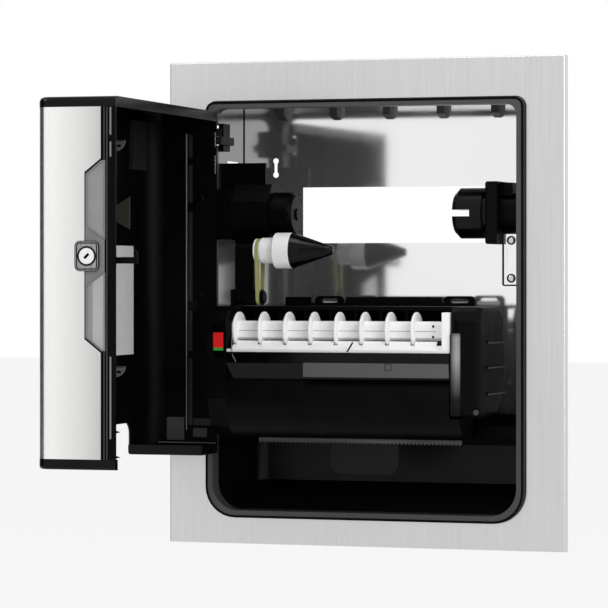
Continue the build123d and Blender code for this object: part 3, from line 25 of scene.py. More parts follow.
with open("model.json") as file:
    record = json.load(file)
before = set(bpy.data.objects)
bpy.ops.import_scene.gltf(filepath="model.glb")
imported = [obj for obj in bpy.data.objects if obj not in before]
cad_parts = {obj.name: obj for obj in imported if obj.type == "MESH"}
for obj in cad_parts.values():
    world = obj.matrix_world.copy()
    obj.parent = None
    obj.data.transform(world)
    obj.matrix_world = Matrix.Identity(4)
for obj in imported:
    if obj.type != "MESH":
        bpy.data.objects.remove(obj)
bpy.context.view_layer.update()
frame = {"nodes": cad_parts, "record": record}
nodes = frame["nodes"]
record = frame["record"]


def low_corner(node):
    """The least X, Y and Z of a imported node, in metres."""
    corners = [node.matrix_world @ Vector(corner) for corner in node.bound_box]
    return [min(corner[axis] for corner in corners) for axis in range(3)]


PLATE_FRONT_Y, PLATE_BOTTOM_Z = low_corner(nodes["trim_frame"])[1:]


def plate(x, y, z):
    """A point in plate millimetres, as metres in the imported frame."""
    return Vector((x / 1000, y / 1000 + PLATE_FRONT_Y, z / 1000 + PLATE_BOTTOM_Z))


def facing(depth, x, z):
    """The same point for outlines drawn as seen from the front, depth given first."""
    return plate(x, depth, z)


def joint_place(joint):
    """Where a joint of the record sits, in plate millimetres."""
    x, y, z = joint["pos_m"]
    return x * 1000, (y - PLATE_FRONT_Y) * 1000, (z - PLATE_BOTTOM_Z) * 1000


JOINTS = {joint["name"]: joint for joint in record["behaviour"]["joints"]}

# Camera, from the photograph's vanishing lines

CAMERA_PLACE = plate(944.8, -3064.5, 272.45)
CAMERA_YAW = radians(18.2)
PHOTO_SIDE_PX = 608
FOCAL_PX = 3200
HORIZON_PX = 275
SENSOR_MM = 36.0


def make_camera():
    data = bpy.data.cameras.new("camera")
    data.sensor_width = SENSOR_MM
    data.lens = FOCAL_PX / PHOTO_SIDE_PX * SENSOR_MM
    data.shift_y = (HORIZON_PX - PHOTO_SIDE_PX / 2) / PHOTO_SIDE_PX
    camera = bpy.data.objects.new("camera", data)
    camera.location = CAMERA_PLACE
    camera.rotation_euler = (radians(90), 0, CAMERA_YAW)
    bpy.context.scene.collection.objects.link(camera)
    bpy.context.scene.camera = camera


# Light: name, place in metres, size in metres and watts of each lamp

LAMPS = (("key", (-2.4, -1.9, 2.1), 1.4, 60),
         ("fill", (2.6, -2.0, 1.0), 1.8, 45),
         ("top", (0.2, -1.0, 2.6), 1.2, 22))
SOFT_LIGHT = 0.45
FLOOR_SIDE, FLOOR_Z = 40, -0.62
FLOOR_TONE = (0.9, 0.9, 0.9, 1)
FLOOR_GLOW_SHARE = 0.85


def area_light(name, place, size, watts):
    data = bpy.data.lights.new(name, "AREA")
    data.size = size
    data.energy = watts
    lamp = bpy.data.objects.new(name, data)
    lamp.location = place
    lamp.rotation_euler = (-Vector(place)).to_track_quat("-Z", "Y").to_euler()
    bpy.context.scene.collection.objects.link(lamp)


def seen_directly(tree):
    """A socket whose value is 1 for camera, glossy and transmission rays, else 0."""
    path = tree.nodes.new("ShaderNodeLightPath")
    total = path.outputs["Is Camera Ray"]
    for name in ("Is Glossy Ray", "Is Transmission Ray"):
        add = tree.nodes.new("ShaderNodeMath")
        add.operation = "MAXIMUM"
        tree.links.new(total, add.inputs[0])
        tree.links.new(path.outputs[name], add.inputs[1])
        total = add.outputs[0]
    return total


def mix_by(tree, factor, first, second, out):
    """The first shader where factor is 0 and the second where it is 1."""
    mix = tree.nodes.new("ShaderNodeMixShader")
    tree.links.new(factor, mix.inputs["Fac"])
    tree.links.new(first.outputs[0], mix.inputs[1])
    tree.links.new(second.outputs[0], mix.inputs[2])
    tree.links.new(mix.outputs[0], out.inputs["Surface"])


def make_world():
    """White where it is seen or mirrored, softer as a light."""
    world = bpy.data.worlds.new("studio")
    bpy.context.scene.world = world
    world.use_nodes = True
    tree = world.node_tree
    tree.nodes.clear()
    soft = tree.nodes.new("ShaderNodeBackground")
    soft.inputs["Color"].default_value = (1, 1, 1, 1)
    soft.inputs["Strength"].default_value = SOFT_LIGHT
    white = tree.nodes.new("ShaderNodeBackground")
    white.inputs["Color"].default_value = (1, 1, 1, 1)
    mix_by(tree, seen_directly(tree), soft, white, tree.nodes.new("ShaderNodeOutputWorld"))


def make_floor():
    bpy.ops.mesh.primitive_plane_add(size=FLOOR_SIDE, location=(0, 0, FLOOR_Z))
    floor = bpy.context.object
    floor.name = "floor"
    material = bpy.data.materials.new("pale_floor")
    material.use_nodes = True
    tree = material.node_tree
    tree.nodes.clear()
    matt = tree.nodes.new("ShaderNodeBsdfDiffuse")
    matt.inputs["Color"].default_value = FLOOR_TONE
    glow = tree.nodes.new("ShaderNodeEmission")
    share = tree.nodes.new("ShaderNodeMath")
    share.operation = "MULTIPLY"
    share.inputs[1].default_value = FLOOR_GLOW_SHARE
    tree.links.new(seen_directly(tree), share.inputs[0])
    mix_by(tree, share.outputs[0], matt, glow, tree.nodes.new("ShaderNodeOutputMaterial"))
    floor.data.materials.append(material)


FLAG_TURN = (radians(-112), radians(-50))
FLAG_REACH = 3.2
FLAG_HEIGHTS = (-0.6, 2.6)
FLAG_STEPS = 12
FLAG_TONE = (0.03, 0.03, 0.026, 1)


def make_flag():
    """A dark curved screen to the left that shows only in reflections."""
    low, high = FLAG_TURN
    bm = bmesh.new()
    columns = []
    for k in range(FLAG_STEPS + 1):
        turn = low + (high - low) * k / FLAG_STEPS
        x, y = FLAG_REACH * sin(turn), -FLAG_REACH * cos(turn)
        columns.append([bm.verts.new((x, y, z)) for z in FLAG_HEIGHTS])
    for left, right in zip(columns, columns[1:]):
        bm.faces.new((left[0], right[0], right[1], left[1]))
    mesh_data = bpy.data.meshes.new("flag")
    bm.to_mesh(mesh_data)
    bm.free()
    flag = bpy.data.objects.new("flag", mesh_data)
    bpy.context.scene.collection.objects.link(flag)
    material, _, shader = new_material("dark_screen")
    shader.inputs["Base Color"].default_value = FLAG_TONE
    shader.inputs["Roughness"].default_value = 0.9
    flag.data.materials.append(material)
    for ray in ("camera", "diffuse", "transmission", "shadow", "volume_scatter"):
        setattr(flag, "visible_" + ray, False)


# Material helpers. Noise scales are per metre and depths of relief in metres.

EVEN = (1, 1, 1)
GRAIN_ALONG_X, GRAIN_ALONG_Y, GRAIN_ALONG_Z = (0.02, 1, 1), (1, 0.012, 1), (1, 1, 0.012)
SHORT_GRAIN = (1, 1, 0.05)
GRAIN_SCALE, GRAIN_DEPTH = 900.0, 0.0002
WAVE_STRETCH, WAVE_SCALE, WAVE_DEPTH = (1, 1, 0.4), 14.0, 0.0005
SPARK_SCALE, CLOUD_SCALE, PANE_CLOUD_SCALE = 2600.0, 45.0, 30.0
NOISE_LOW, NOISE_HIGH = 0.3, 0.7


def new_material(name):
    material = bpy.data.materials.new(name)
    material.use_nodes = True
    tree = material.node_tree
    shader = tree.nodes["Principled BSDF"]
    return material, tree, shader


def stretched_noise(tree, stretch, scale, detail=3.0):
    """Noise in object coordinates, drawn out by the stretch factors."""
    where = tree.nodes.new("ShaderNodeTexCoord")
    mapping = tree.nodes.new("ShaderNodeMapping")
    mapping.inputs["Scale"].default_value = stretch
    noise = tree.nodes.new("ShaderNodeTexNoise")
    noise.inputs["Scale"].default_value = scale
    noise.inputs["Detail"].default_value = detail
    tree.links.new(where.outputs["Object"], mapping.inputs["Vector"])
    tree.links.new(mapping.outputs["Vector"], noise.inputs["Vector"])
    return noise.outputs["Fac"]


def ramp(tree, source, low, high):
    """Noise spread over low to high, by the band that most of it lies in."""
    node = tree.nodes.new("ShaderNodeMapRange")
    node.inputs["From Min"].default_value = NOISE_LOW
    node.inputs["From Max"].default_value = NOISE_HIGH
    node.inputs["To Min"].default_value = low
    node.inputs["To Max"].default_value = high
    tree.links.new(source, node.inputs["Value"])
    return node.outputs["Result"]


def blend(tree, factor, dark, light):
    mix = tree.nodes.new("ShaderNodeMix")
    mix.data_type = "RGBA"
    mix.inputs["A"].default_value = (*dark, 1)
    mix.inputs["B"].default_value = (*light, 1)
    tree.links.new(factor, mix.inputs["Factor"])
    return mix.outputs["Result"]


def tint(tree, shader, factor, dark, light):
    tree.links.new(blend(tree, factor, dark, light), shader.inputs["Base Color"])


def add_bump(tree, shader, source, strength, depth):
    bump = tree.nodes.new("ShaderNodeBump")
    bump.inputs["Strength"].default_value = strength
    bump.inputs["Distance"].default_value = depth
    tree.links.new(source, bump.inputs["Height"])
    tree.links.new(bump.outputs["Normal"], shader.inputs["Normal"])


def tones_along(tree, axis, start, end, tones, blueness=1.0):
    """Greys placed between two object coordinates: tones holds (share of the way, grey)."""
    where = tree.nodes.new("ShaderNodeTexCoord")
    split = tree.nodes.new("ShaderNodeSeparateXYZ")
    tree.links.new(where.outputs["Object"], split.inputs[0])
    span = tree.nodes.new("ShaderNodeMapRange")
    span.inputs["From Min"].default_value = start
    span.inputs["From Max"].default_value = end
    tree.links.new(split.outputs[axis], span.inputs["Value"])
    line = tree.nodes.new("ShaderNodeValToRGB")
    stops = line.color_ramp.elements
    for k, (place, tone) in enumerate(tones):
        stop = stops[k] if k < 2 else stops.new(place)
        stop.position = place
        stop.color = (tone, tone, tone * blueness, 1)
    tree.links.new(span.outputs["Result"], line.inputs["Fac"])
    return line.outputs["Color"]


# Materials

def brushed_metal(name, tone, stretch, roughness=0.3, spread=0.025, relief=0.1):
    """Steel with a fine grain along the axis whose stretch factor is smallest."""
    material, tree, shader = new_material(name)
    grain = stretched_noise(tree, stretch, GRAIN_SCALE)
    tint(tree, shader, ramp(tree, grain, 0, 1),
         (tone - spread,) * 3, (tone + spread, tone + spread, tone + spread - 0.006))
    tree.links.new(ramp(tree, grain, roughness - 0.04, roughness + 0.04),
                   shader.inputs["Roughness"])
    shader.inputs["Metallic"].default_value = 1.0
    add_bump(tree, shader, grain, relief, GRAIN_DEPTH)
    return material


def polished_metal(name, tone, roughness, metallic=1.0):
    """Mirror steel with faint rolling waves."""
    material, tree, shader = new_material(name)
    waves = stretched_noise(tree, WAVE_STRETCH, WAVE_SCALE, 2.0)
    tint(tree, shader, ramp(tree, waves, 0, 1), (tone - 0.012,) * 3, (tone,) * 3)
    tree.links.new(ramp(tree, waves, roughness * 0.7, roughness * 1.3),
                   shader.inputs["Roughness"])
    shader.inputs["Metallic"].default_value = metallic
    add_bump(tree, shader, waves, 0.02, WAVE_DEPTH)
    return material


def plastic(name, colour, roughness, texture_depth=0.00004, level=0.5):
    """Moulded plastic: fine spark texture, slight change of gloss."""
    material, tree, shader = new_material(name)
    spark = stretched_noise(tree, EVEN, SPARK_SCALE, 2.0)
    cloud = stretched_noise(tree, EVEN, CLOUD_SCALE)
    light = tuple(min(1.0, part * 1.06 + 0.001) for part in colour)
    tint(tree, shader, ramp(tree, cloud, 0, 1), colour, light)
    tree.links.new(ramp(tree, cloud, roughness - 0.03, roughness + 0.03),
                   shader.inputs["Roughness"])
    shader.inputs["Specular IOR Level"].default_value = level
    add_bump(tree, shader, spark, 0.15, texture_depth)
    return material


def smoked_pane(name):
    """Grey see-through plastic."""
    material, tree, shader = new_material(name)
    cloud = stretched_noise(tree, EVEN, PANE_CLOUD_SCALE, 2.0)
    tint(tree, shader, ramp(tree, cloud, 0, 1), (0.40,) * 3, (0.46,) * 3)
    shader.inputs["Roughness"].default_value = 0.12
    shader.inputs["Alpha"].default_value = 0.42
    return material


# Painted reflection on the door's free side: greys across X, light with a dark band near the rolled
# corner.
DOOR_SIDE_LEFT, DOOR_SIDE_RIGHT = -230.0, -155.5
DOOR_SIDE_PAINTED_REFLECTION = ((0.0, 0.80), (0.045, 0.74), (0.055, 0.13), (0.088, 0.20), (0.112, 0.90),
                   (0.35, 0.92), (0.75, 0.74), (1.0, 0.58))


def door_steel_painted_reflection():
    """Door steel with a painted reflection: its tone changes across the free side, with a painted
    dark band by its rolled corner.
    """
    material, tree, shader = new_material("door_steel_painted_reflection")
    grain = stretched_noise(tree, GRAIN_ALONG_Y, GRAIN_SCALE)
    tones = tones_along(tree, "X", DOOR_SIDE_LEFT / 1000, DOOR_SIDE_RIGHT / 1000,
                        DOOR_SIDE_PAINTED_REFLECTION, 0.985)
    fleck = tree.nodes.new("ShaderNodeMix")
    fleck.data_type = "RGBA"
    fleck.blend_type = "MULTIPLY"
    fleck.inputs["Factor"].default_value = 1.0
    tree.links.new(tones, fleck.inputs["A"])
    tree.links.new(blend(tree, ramp(tree, grain, 0, 1), (0.965,) * 3, (1, 1, 1)),
                   fleck.inputs["B"])
    tree.links.new(fleck.outputs["Result"], shader.inputs["Base Color"])
    tree.links.new(ramp(tree, grain, 0.2, 0.27), shader.inputs["Roughness"])
    shader.inputs["Metallic"].default_value = 1.0
    add_bump(tree, shader, grain, 0.04, GRAIN_DEPTH)
    return material


# Where the painted sheen lies on the gear case's front, and its greys across and upwards.
SHEEN_LEFT, SHEEN_RIGHT = 105.2, 115.7
SHEEN_LOW, SHEEN_HIGH = 134.5, 215.5
SHEEN_ACROSS = ((0.0, 0.0), (0.25, 0.55), (0.6, 1.0), (0.9, 0.75), (1.0, 0.0))
SHEEN_UPWARDS = ((0.0, 0.0), (0.2, 0.02), (0.45, 0.4), (0.7, 1.0), (0.95, 0.85), (1.0, 0.3))


def gear_case_painted_highlight():
    """Painted sheen on the gear case's front corner: a soft vertical highlight, fading towards its
    foot.
    """
    material, tree, shader = new_material("gear_case_painted_highlight")
    low, high = plate(SHEEN_LEFT, 0, SHEEN_LOW), plate(SHEEN_RIGHT, 0, SHEEN_HIGH)
    both = tree.nodes.new("ShaderNodeMath")
    both.operation = "MULTIPLY"
    tree.links.new(tones_along(tree, "X", low.x, high.x, SHEEN_ACROSS), both.inputs[0])
    tree.links.new(tones_along(tree, "Z", low.z, high.z, SHEEN_UPWARDS), both.inputs[1])
    tint(tree, shader, both.outputs[0], (0.0012,) * 3, (0.36,) * 3)
    shader.inputs["Roughness"].default_value = 0.35
    shader.inputs["Specular IOR Level"].default_value = 0.1
    return material


# One material for each slot of the record

MATERIALS = {
    "brushed_steel": brushed_metal("plate_steel", 0.62, GRAIN_ALONG_Z),
    "door_steel": door_steel_painted_reflection(),
    "recess_steel": polished_metal("recess_steel", 0.93, 0.075, 0.87),
    "black_gloss": plastic("black_gloss", (0.0012, 0.0012, 0.0013), 0.16, 0.00001, 0.14),
    "black_matte": plastic("black_matte", (0.002, 0.002, 0.0021), 0.34, 0.00004, 0.16),
    "white_plastic": plastic("white_plastic", (0.86, 0.86, 0.86), 0.35),
    "smoked_window": smoked_pane("smoked_window"),
    "steel_part": brushed_metal("steel_part", 0.62, GRAIN_ALONG_X, 0.25),
    "chrome_part": polished_metal("chrome_part", 0.85, 0.1),
    "gear_plastic": plastic("gear_plastic", (0.75, 0.74, 0.70), 0.45),
    "belt_rubber": plastic("belt_rubber", (0.30, 0.31, 0.10), 0.6),
    "signal_green": plastic("signal_green", (0.02, 0.30, 0.02), 0.4),
    "signal_red": plastic("signal_red", (0.62, 0.004, 0.004), 0.4),
    "label_paper": plastic("label_paper", (0.55, 0.55, 0.55), 0.55),
}

# Tones that single nodes and details take instead of their slot's. Some stand in for painted light
# or shade, as noted at each.

# A grey that is painted highlight on the rim's strips, the left housing's edge and the hinge wall's
# edge line, and the colour of the roller's seam and the hub's screw.
GREY_AND_PAINTED_HIGHLIGHT = plastic("grey_and_painted_highlight", (0.17, 0.17, 0.17), 0.3)
DIM_GREY = plastic("dim_grey", (0.014, 0.014, 0.014), 0.4, 0.00004, 0.2)
# A dark grey: painted reflection on the bezel, painted highlight lines along the rim, and the tone
# of the recess's clips, the label clips' tops, two wall pads and the case's screw.
MID_GREY = plastic("mid_grey", (0.055, 0.055, 0.055), 0.4, 0.00004, 0.2)
OLIVE_GREY = plastic("olive_grey", (0.042, 0.042, 0.03), 0.45, 0.00004, 0.2)
# A grey copy of the black plastic as painted light: the rail's lit slope and the highlights on the
# gear case's ribs.
RAIL_PAINTED_LIGHT = plastic("rail_painted_light", (0.085, 0.085, 0.085), 0.4, 0.00002, 0.2)
SURROUND_GREY = plastic("surround_grey", (0.14, 0.14, 0.14), 0.35)
DEEP_BLACK = plastic("deep_black", (0.0009, 0.0009, 0.0009), 0.42, 0.00002, 0.05)
LOCK_GREY = brushed_metal("lock_grey", 0.30, SHORT_GRAIN, 0.3, 0.06)
TOOTH_STEEL = brushed_metal("tooth_steel", 0.06, GRAIN_ALONG_X)
# Darker copies of the recess steel, as painted shade on the recess's left wall and its ceiling.
LEFT_WALL_PAINTED_SHADE = polished_metal("left_wall_painted_shade", 0.24, 0.12, 0.9)
CEILING_PAINTED_SHADE = polished_metal("ceiling_painted_shade", 0.42, 0.12, 0.9)

NODE_MATERIALS = {
    "lock_plate": LOCK_GREY,
    "liner_clips": SURROUND_GREY,
    "door_guide_bar": DIM_GREY,
    "recess_clips": MID_GREY,
    # The bezel's black plastic takes a mid grey as painted reflection.
    "bezel_ring": MID_GREY,
    "recess_left": LEFT_WALL_PAINTED_SHADE,
    "recess_top": CEILING_PAINTED_SHADE,
    "tear_bar": TOOTH_STEEL,
}
DEEP_BLACK_NODES = (
    "door_liner", "lower_cover", "left_hub", "left_plunger", "left_hub_carrier",
    "hinge_brackets", "module_shell", "left_end_housing", "right_gear_housing", "stub_arm",
    "stub_arm_bracket", "latch_guides", "rear_rail", "guide_comb", "module_brackets",
    "gear_cover", "right_hub_carrier", "latch_bolt", "stub_belt_pulley")
NODE_MATERIALS.update({name: DEEP_BLACK for name in DEEP_BLACK_NODES})


def dress_nodes():
    """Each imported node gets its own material, or else its slot's."""
    slot_of = {part["node"]: part["material_slot"] for part in record["subparts"]}
    for name, node in nodes.items():
        node.data.materials.clear()
        node.data.materials.append(NODE_MATERIALS.get(name, MATERIALS[slot_of[name]]))


# Mesh helpers. Each makes one piece that rides on a body.

EDGE = 0.15
FINE_EDGE = 0.1
FINEST_EDGE = 0.05


def finish_piece(name, mesh_data, body, slot_name, material):
    piece = bpy.data.objects.new(name, mesh_data)
    bpy.context.scene.collection.objects.link(piece)
    piece.data.materials.append(material or MATERIALS[slot_name])
    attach(piece, body)
    return piece


def mesh_from(bm, name, soft=False):
    bmesh.ops.recalc_face_normals(bm, faces=bm.faces)
    for face in bm.faces:
        face.smooth = soft
    mesh_data = bpy.data.meshes.new(name)
    bm.to_mesh(mesh_data)
    bm.free()
    return mesh_data


def prism(name, body, slot_name, place, outline, low, high, material=None, edge=EDGE):
    """A plate with rounded edges. place turns (across, u, v) into a frame point."""
    bm = bmesh.new()
    rings = [[bm.verts.new(place(a, u, v)) for u, v in outline] for a in (low, high)]
    bm.faces.new(rings[0])
    bm.faces.new(rings[1])
    count = len(outline)
    for i in range(count):
        j = (i + 1) % count
        bm.faces.new((rings[0][i], rings[0][j], rings[1][j], rings[1][i]))
    bmesh.ops.recalc_face_normals(bm, faces=bm.faces)
    bmesh.ops.bevel(bm, geom=bm.edges[:], offset=edge / 1000, segments=2, affect="EDGES",
                    profile=0.5, clamp_overlap=True)
    finish_piece(name, mesh_from(bm, name), body, slot_name, material)


def inset(outline, gap):
    """The outline moved inwards by gap. Points run anticlockwise or clockwise."""
    area = sum(a[0] * b[1] - b[0] * a[1] for a, b in zip(outline, outline[1:] + outline[:1]))
    side = 1 if area > 0 else -1
    moved = []
    count = len(outline)
    for i in range(count):
        before, here, after = (Vector(outline[k % count]) for k in (i - 1, i, i + 1))
        d0, d1 = (here - before).normalized(), (after - here).normalized()
        n0, n1 = (Vector((-d.y, d.x)) * side for d in (d0, d1))
        mitre = (n0 + n1).normalized()
        moved.append(tuple(here + mitre * gap / max(0.2, mitre.dot(n0))))
    return moved


def frame_band(name, body, slot_name, place, outline, width, low, high, material=None):
    """A flat closed band that follows an outline."""
    inner = inset(outline, width)
    bm = bmesh.new()
    corners = [[[bm.verts.new(place(a, u, v)) for u, v in line] for a in (low, high)]
               for line in (outline, inner)]
    count = len(outline)
    for i in range(count):
        j = (i + 1) % count
        (ob, ot), (ib, it) = corners
        bm.faces.new((ob[i], ob[j], ot[j], ot[i]))
        bm.faces.new((ib[i], ib[j], it[j], it[i]))
        bm.faces.new((ot[i], ot[j], it[j], it[i]))
        bm.faces.new((ob[i], ob[j], ib[j], ib[i]))
    finish_piece(name, mesh_from(bm, name), body, slot_name, material)


def wire(name, body, slot_name, points, radius, material=None):
    """A round bead along points given in the frame."""
    data = bpy.data.curves.new(name + "_line", "CURVE")
    data.dimensions = "3D"
    data.bevel_depth = radius / 1000
    data.bevel_resolution = 3
    data.use_fill_caps = True
    spline = data.splines.new("POLY")
    spline.points.add(len(points) - 1)
    for point, place in zip(spline.points, points):
        point.co = (*place, 1)
    line = bpy.data.objects.new(name + "_line", data)
    bpy.context.scene.collection.objects.link(line)
    bpy.context.view_layer.update()
    mesh_data = bpy.data.meshes.new_from_object(line)
    bpy.data.objects.remove(line)
    for face in mesh_data.polygons:
        face.use_smooth = True
    mesh_data.materials.clear()
    finish_piece(name, mesh_data, body, slot_name, material)


def turned(name, body, slot_name, centre, axis, profile, material=None, steps=40):
    """A lathe-turned piece: profile is (radius, height) in mm along the axis from centre."""
    turn = Vector(axis).to_track_quat("Z", "Y").to_matrix()
    bm = bmesh.new()
    rings = []
    for radius, height in profile:
        if radius < 1e-6:
            rings.append([bm.verts.new(centre + turn @ Vector((0, 0, height / 1000)))])
            continue
        rings.append([bm.verts.new(centre + turn @ Vector((
            radius * cos(2 * pi * k / steps) / 1000, radius * sin(2 * pi * k / steps) / 1000,
            height / 1000))) for k in range(steps)])
    for low, high in zip(rings, rings[1:]):
        for k in range(steps):
            n = (k + 1) % steps
            if len(low) == 1:
                bm.faces.new((low[0], high[k], high[n]))
            elif len(high) == 1:
                bm.faces.new((low[k], low[n], high[0]))
            else:
                bm.faces.new((low[k], low[n], high[n], high[k]))
    piece = finish_piece(name, mesh_from(bm, name, True), body, slot_name, material)
    piece.data.set_sharp_from_angle(angle=radians(35))


def box_outline(u0, u1, v0, v1, corner=0.0, steps=4):
    """A rectangle from u0 to u1 and v0 to v1, its corners rounded if wished."""
    if not corner:
        return [(u0, v0), (u1, v0), (u1, v1), (u0, v1)]
    points = []
    for cu, cv, start in ((u1 - corner, v0 + corner, -90), (u1 - corner, v1 - corner, 0),
                          (u0 + corner, v1 - corner, 90), (u0 + corner, v0 + corner, 180)):
        for k in range(steps + 1):
            turn = radians(start + 90 * k / steps)
            points.append((cu + corner * cos(turn), cv + corner * sin(turn)))
    return points


def box_around(u, v, half_u, half_v, corner=0.0, steps=4):
    return box_outline(u - half_u, u + half_u, v - half_v, v + half_v, corner, steps)


def capsule(u, v, length, width, slant=0.0, steps=6):
    """A slot with round ends about (u, v), turned by slant degrees."""
    points = []
    half = (length - width) / 2
    for sign, start in ((1, -90), (-1, 90)):
        for k in range(steps + 1):
            turn = radians(start + 180 * k / steps)
            points.append((sign * half + width / 2 * cos(turn), width / 2 * sin(turn)))
    c, s = cos(radians(slant)), sin(radians(slant))
    return [(u + c * a - s * b, v + s * a + c * b) for a, b in points]


# Door details, in the door's closed place and swung open with it

HINGE_X, HINGE_Y, _ = joint_place(JOINTS["door_hinge"])
OPEN_ANGLE = radians(JOINTS["door_hinge"]["range_deg"][1])
DOOR_LOW, DOOR_HIGH = 101.8, 428.2


def door_point(x, y, z):
    """A point of the closed door, in plate millimetres, moved to the open place."""
    dx, dy = x - HINGE_X, y - HINGE_Y
    c, s = cos(OPEN_ANGLE), sin(OPEN_ANGLE)
    return plate(HINGE_X + c * dx + s * dy, HINGE_Y - s * dx + c * dy, z)


DOOR_X = door_point(1, 0, 0) - door_point(0, 0, 0)
DOOR_Y = door_point(0, 1, 0) - door_point(0, 0, 0)

# The door's free side: faces by their X, edges by their Y

SIDE_FACE, RIM_FACE = 157.0, 156.2
SKIN_EDGE, NOTCH_EDGE = -17.8, -33.8
NOTCH_LOW, NOTCH_HIGH, NOTCH_RISE = 200.7, 380.0, 12.5
EDGE_BEAD_RADIUS, EDGE_BEAD_SINK = 0.55, 0.1
LOCK_Y, LOCK_Z = -31.6, 290.0


def dress_skin_edge():
    """The dark line along the steel skin's cut edge."""
    edge = [(SKIN_EDGE, DOOR_HIGH), (SKIN_EDGE, NOTCH_HIGH),
            (NOTCH_EDGE, NOTCH_HIGH - NOTCH_RISE), (NOTCH_EDGE, NOTCH_LOW + NOTCH_RISE),
            (SKIN_EDGE, NOTCH_LOW), (SKIN_EDGE, DOOR_LOW)]
    wire("skin_edge_bead", "door", "black_gloss",
         [door_point(SIDE_FACE - EDGE_BEAD_SINK, y, z) for y, z in edge], EDGE_BEAD_RADIUS)


SURROUND_FRONT, SURROUND_SHOULDER, SURROUND_REAR = -33.6, -16.2, -14.5
SURROUND_TALL, SURROUND_SHORT = 27.6, 15.0
SURROUND_EDGE = 0.08
SURROUND_SINK, SURROUND_RISE = 0.4, 0.1
PANE_FRONT, PANE_SHOULDER, PANE_REAR = -33.2, -16.0, -14.0
PANE_BAND, PANE_GAP = 1.5, 0.25
PANE_BAND_SINK, PANE_BAND_RISE = 0.5, 0.15
PANE_NEAR_SLOPE, PANE_FAR_SLOPE = 12.3, 12.7


def dress_windows():
    """Grey frames of both windows and the moulded face between them."""
    for name, turn, far in (("upper", 1, NOTCH_HIGH - PANE_BAND),
                            ("lower", -1, NOTCH_LOW + PANE_BAND)):
        near = LOCK_Z + turn * (SURROUND_SHORT + PANE_GAP)
        outline = [(PANE_REAR, near), (PANE_SHOULDER, near),
                   (PANE_FRONT, near + turn * PANE_NEAR_SLOPE),
                   (PANE_FRONT, far - turn * PANE_FAR_SLOPE), (SKIN_EDGE, far),
                   (PANE_REAR, far)]
        frame_band(f"pane_frame_{name}", "door", "black_gloss", door_point, outline,
                   PANE_BAND, SIDE_FACE - PANE_BAND_SINK, SIDE_FACE + PANE_BAND_RISE, SURROUND_GREY)
    prism("lock_surround_face", "door", "black_gloss", door_point,
          [(SURROUND_FRONT, LOCK_Z - SURROUND_TALL), (SURROUND_FRONT, LOCK_Z + SURROUND_TALL),
           (SURROUND_SHOULDER, LOCK_Z + SURROUND_SHORT),
           (SURROUND_REAR, LOCK_Z + SURROUND_SHORT), (SURROUND_REAR, LOCK_Z - SURROUND_SHORT),
           (SURROUND_SHOULDER, LOCK_Z - SURROUND_SHORT)],
          SIDE_FACE - SURROUND_SINK, SIDE_FACE + SURROUND_RISE, SURROUND_GREY, SURROUND_EDGE)


LOCK_FACE = SIDE_FACE + 1.5
LOCK_LINE_HALF_Y, LOCK_LINE_HALF_Z, LOCK_LINE_CORNER, LOCK_LINE_WIDTH = 10.4, 12.6, 3.0, 1.1
LOCK_LINE_SINK, LOCK_LINE_RISE = 0.2, 0.05
LOCK_RIM_HALF_Y, LOCK_RIM_HALF_Z, LOCK_RIM_CORNER, LOCK_RIM_WIDTH = 11.9, 14.1, 5.2, 0.7
LOCK_RING_PROFILE = [(8.0, 1.3), (8.0, 1.75), (8.9, 1.75), (9.3, 1.55), (9.3, 1.3), (8.0, 1.3)]
KEYWAY_LENGTH, KEYWAY_WIDTH, KEYWAY_SLANT = 7.4, 2.8, 45
KEYWAY_FLOOR, KEYWAY_FACE = SIDE_FACE + 0.8, SIDE_FACE + 1.78


def dress_lock():
    """Lines of the lock plate, the ring round the plug, and a black filler in its keyway as painted
    shadow.
    """
    frame_band("lock_line", "door", "black_gloss", door_point,
               box_around(LOCK_Y, LOCK_Z, LOCK_LINE_HALF_Y, LOCK_LINE_HALF_Z,
                          LOCK_LINE_CORNER),
               LOCK_LINE_WIDTH, LOCK_FACE - LOCK_LINE_SINK, LOCK_FACE + LOCK_LINE_RISE)
    frame_band("lock_plate_rim", "door", "black_gloss", door_point,
               box_around(LOCK_Y, LOCK_Z, LOCK_RIM_HALF_Y, LOCK_RIM_HALF_Z,
                          LOCK_RIM_CORNER, 6),
               LOCK_RIM_WIDTH, SIDE_FACE, LOCK_FACE)
    turned("lock_ring", "door", "black_gloss", door_point(SIDE_FACE, LOCK_Y, LOCK_Z), DOOR_X,
           LOCK_RING_PROFILE)
    prism("keyway_shadow", "lock_plug", "black_gloss", door_point,
          capsule(LOCK_Y, LOCK_Z, KEYWAY_LENGTH, KEYWAY_WIDTH, KEYWAY_SLANT),
          KEYWAY_FLOOR, KEYWAY_FACE, DEEP_BLACK, FINEST_EDGE)


# The rim's strips and lines are painted highlights on black plastic.
RIM_RELIEF = 0.4
RIM_HIGHLIGHT_FRONT, RIM_HIGHLIGHT_REAR = -9.7, -8.1
RIM_HIGHLIGHT_SPANS = ((402.0, 427.6), (381.7, 395.5), (121.0, 197.0))
RIM_LINES_Y, RIM_LINE_HALF = (-15.2, -12.4), 0.45


def dress_rim():
    """Painted highlights on the black rim at the free side: lit strips, and grey lines along its
    edges.
    """
    for k, (low, high) in enumerate(RIM_HIGHLIGHT_SPANS):
        prism(f"rim_highlight_{k}", "door", "black_gloss", door_point,
              box_outline(RIM_HIGHLIGHT_FRONT, RIM_HIGHLIGHT_REAR, low, high),
              RIM_FACE, RIM_FACE + RIM_RELIEF, GREY_AND_PAINTED_HIGHLIGHT)
    for k, y in enumerate(RIM_LINES_Y):
        prism(f"rim_edge_highlight_{k}", "door", "black_gloss", door_point,
              box_outline(y - RIM_LINE_HALF, y + RIM_LINE_HALF, DOOR_LOW, DOOR_HIGH),
              RIM_FACE, RIM_FACE + RIM_RELIEF, MID_GREY)


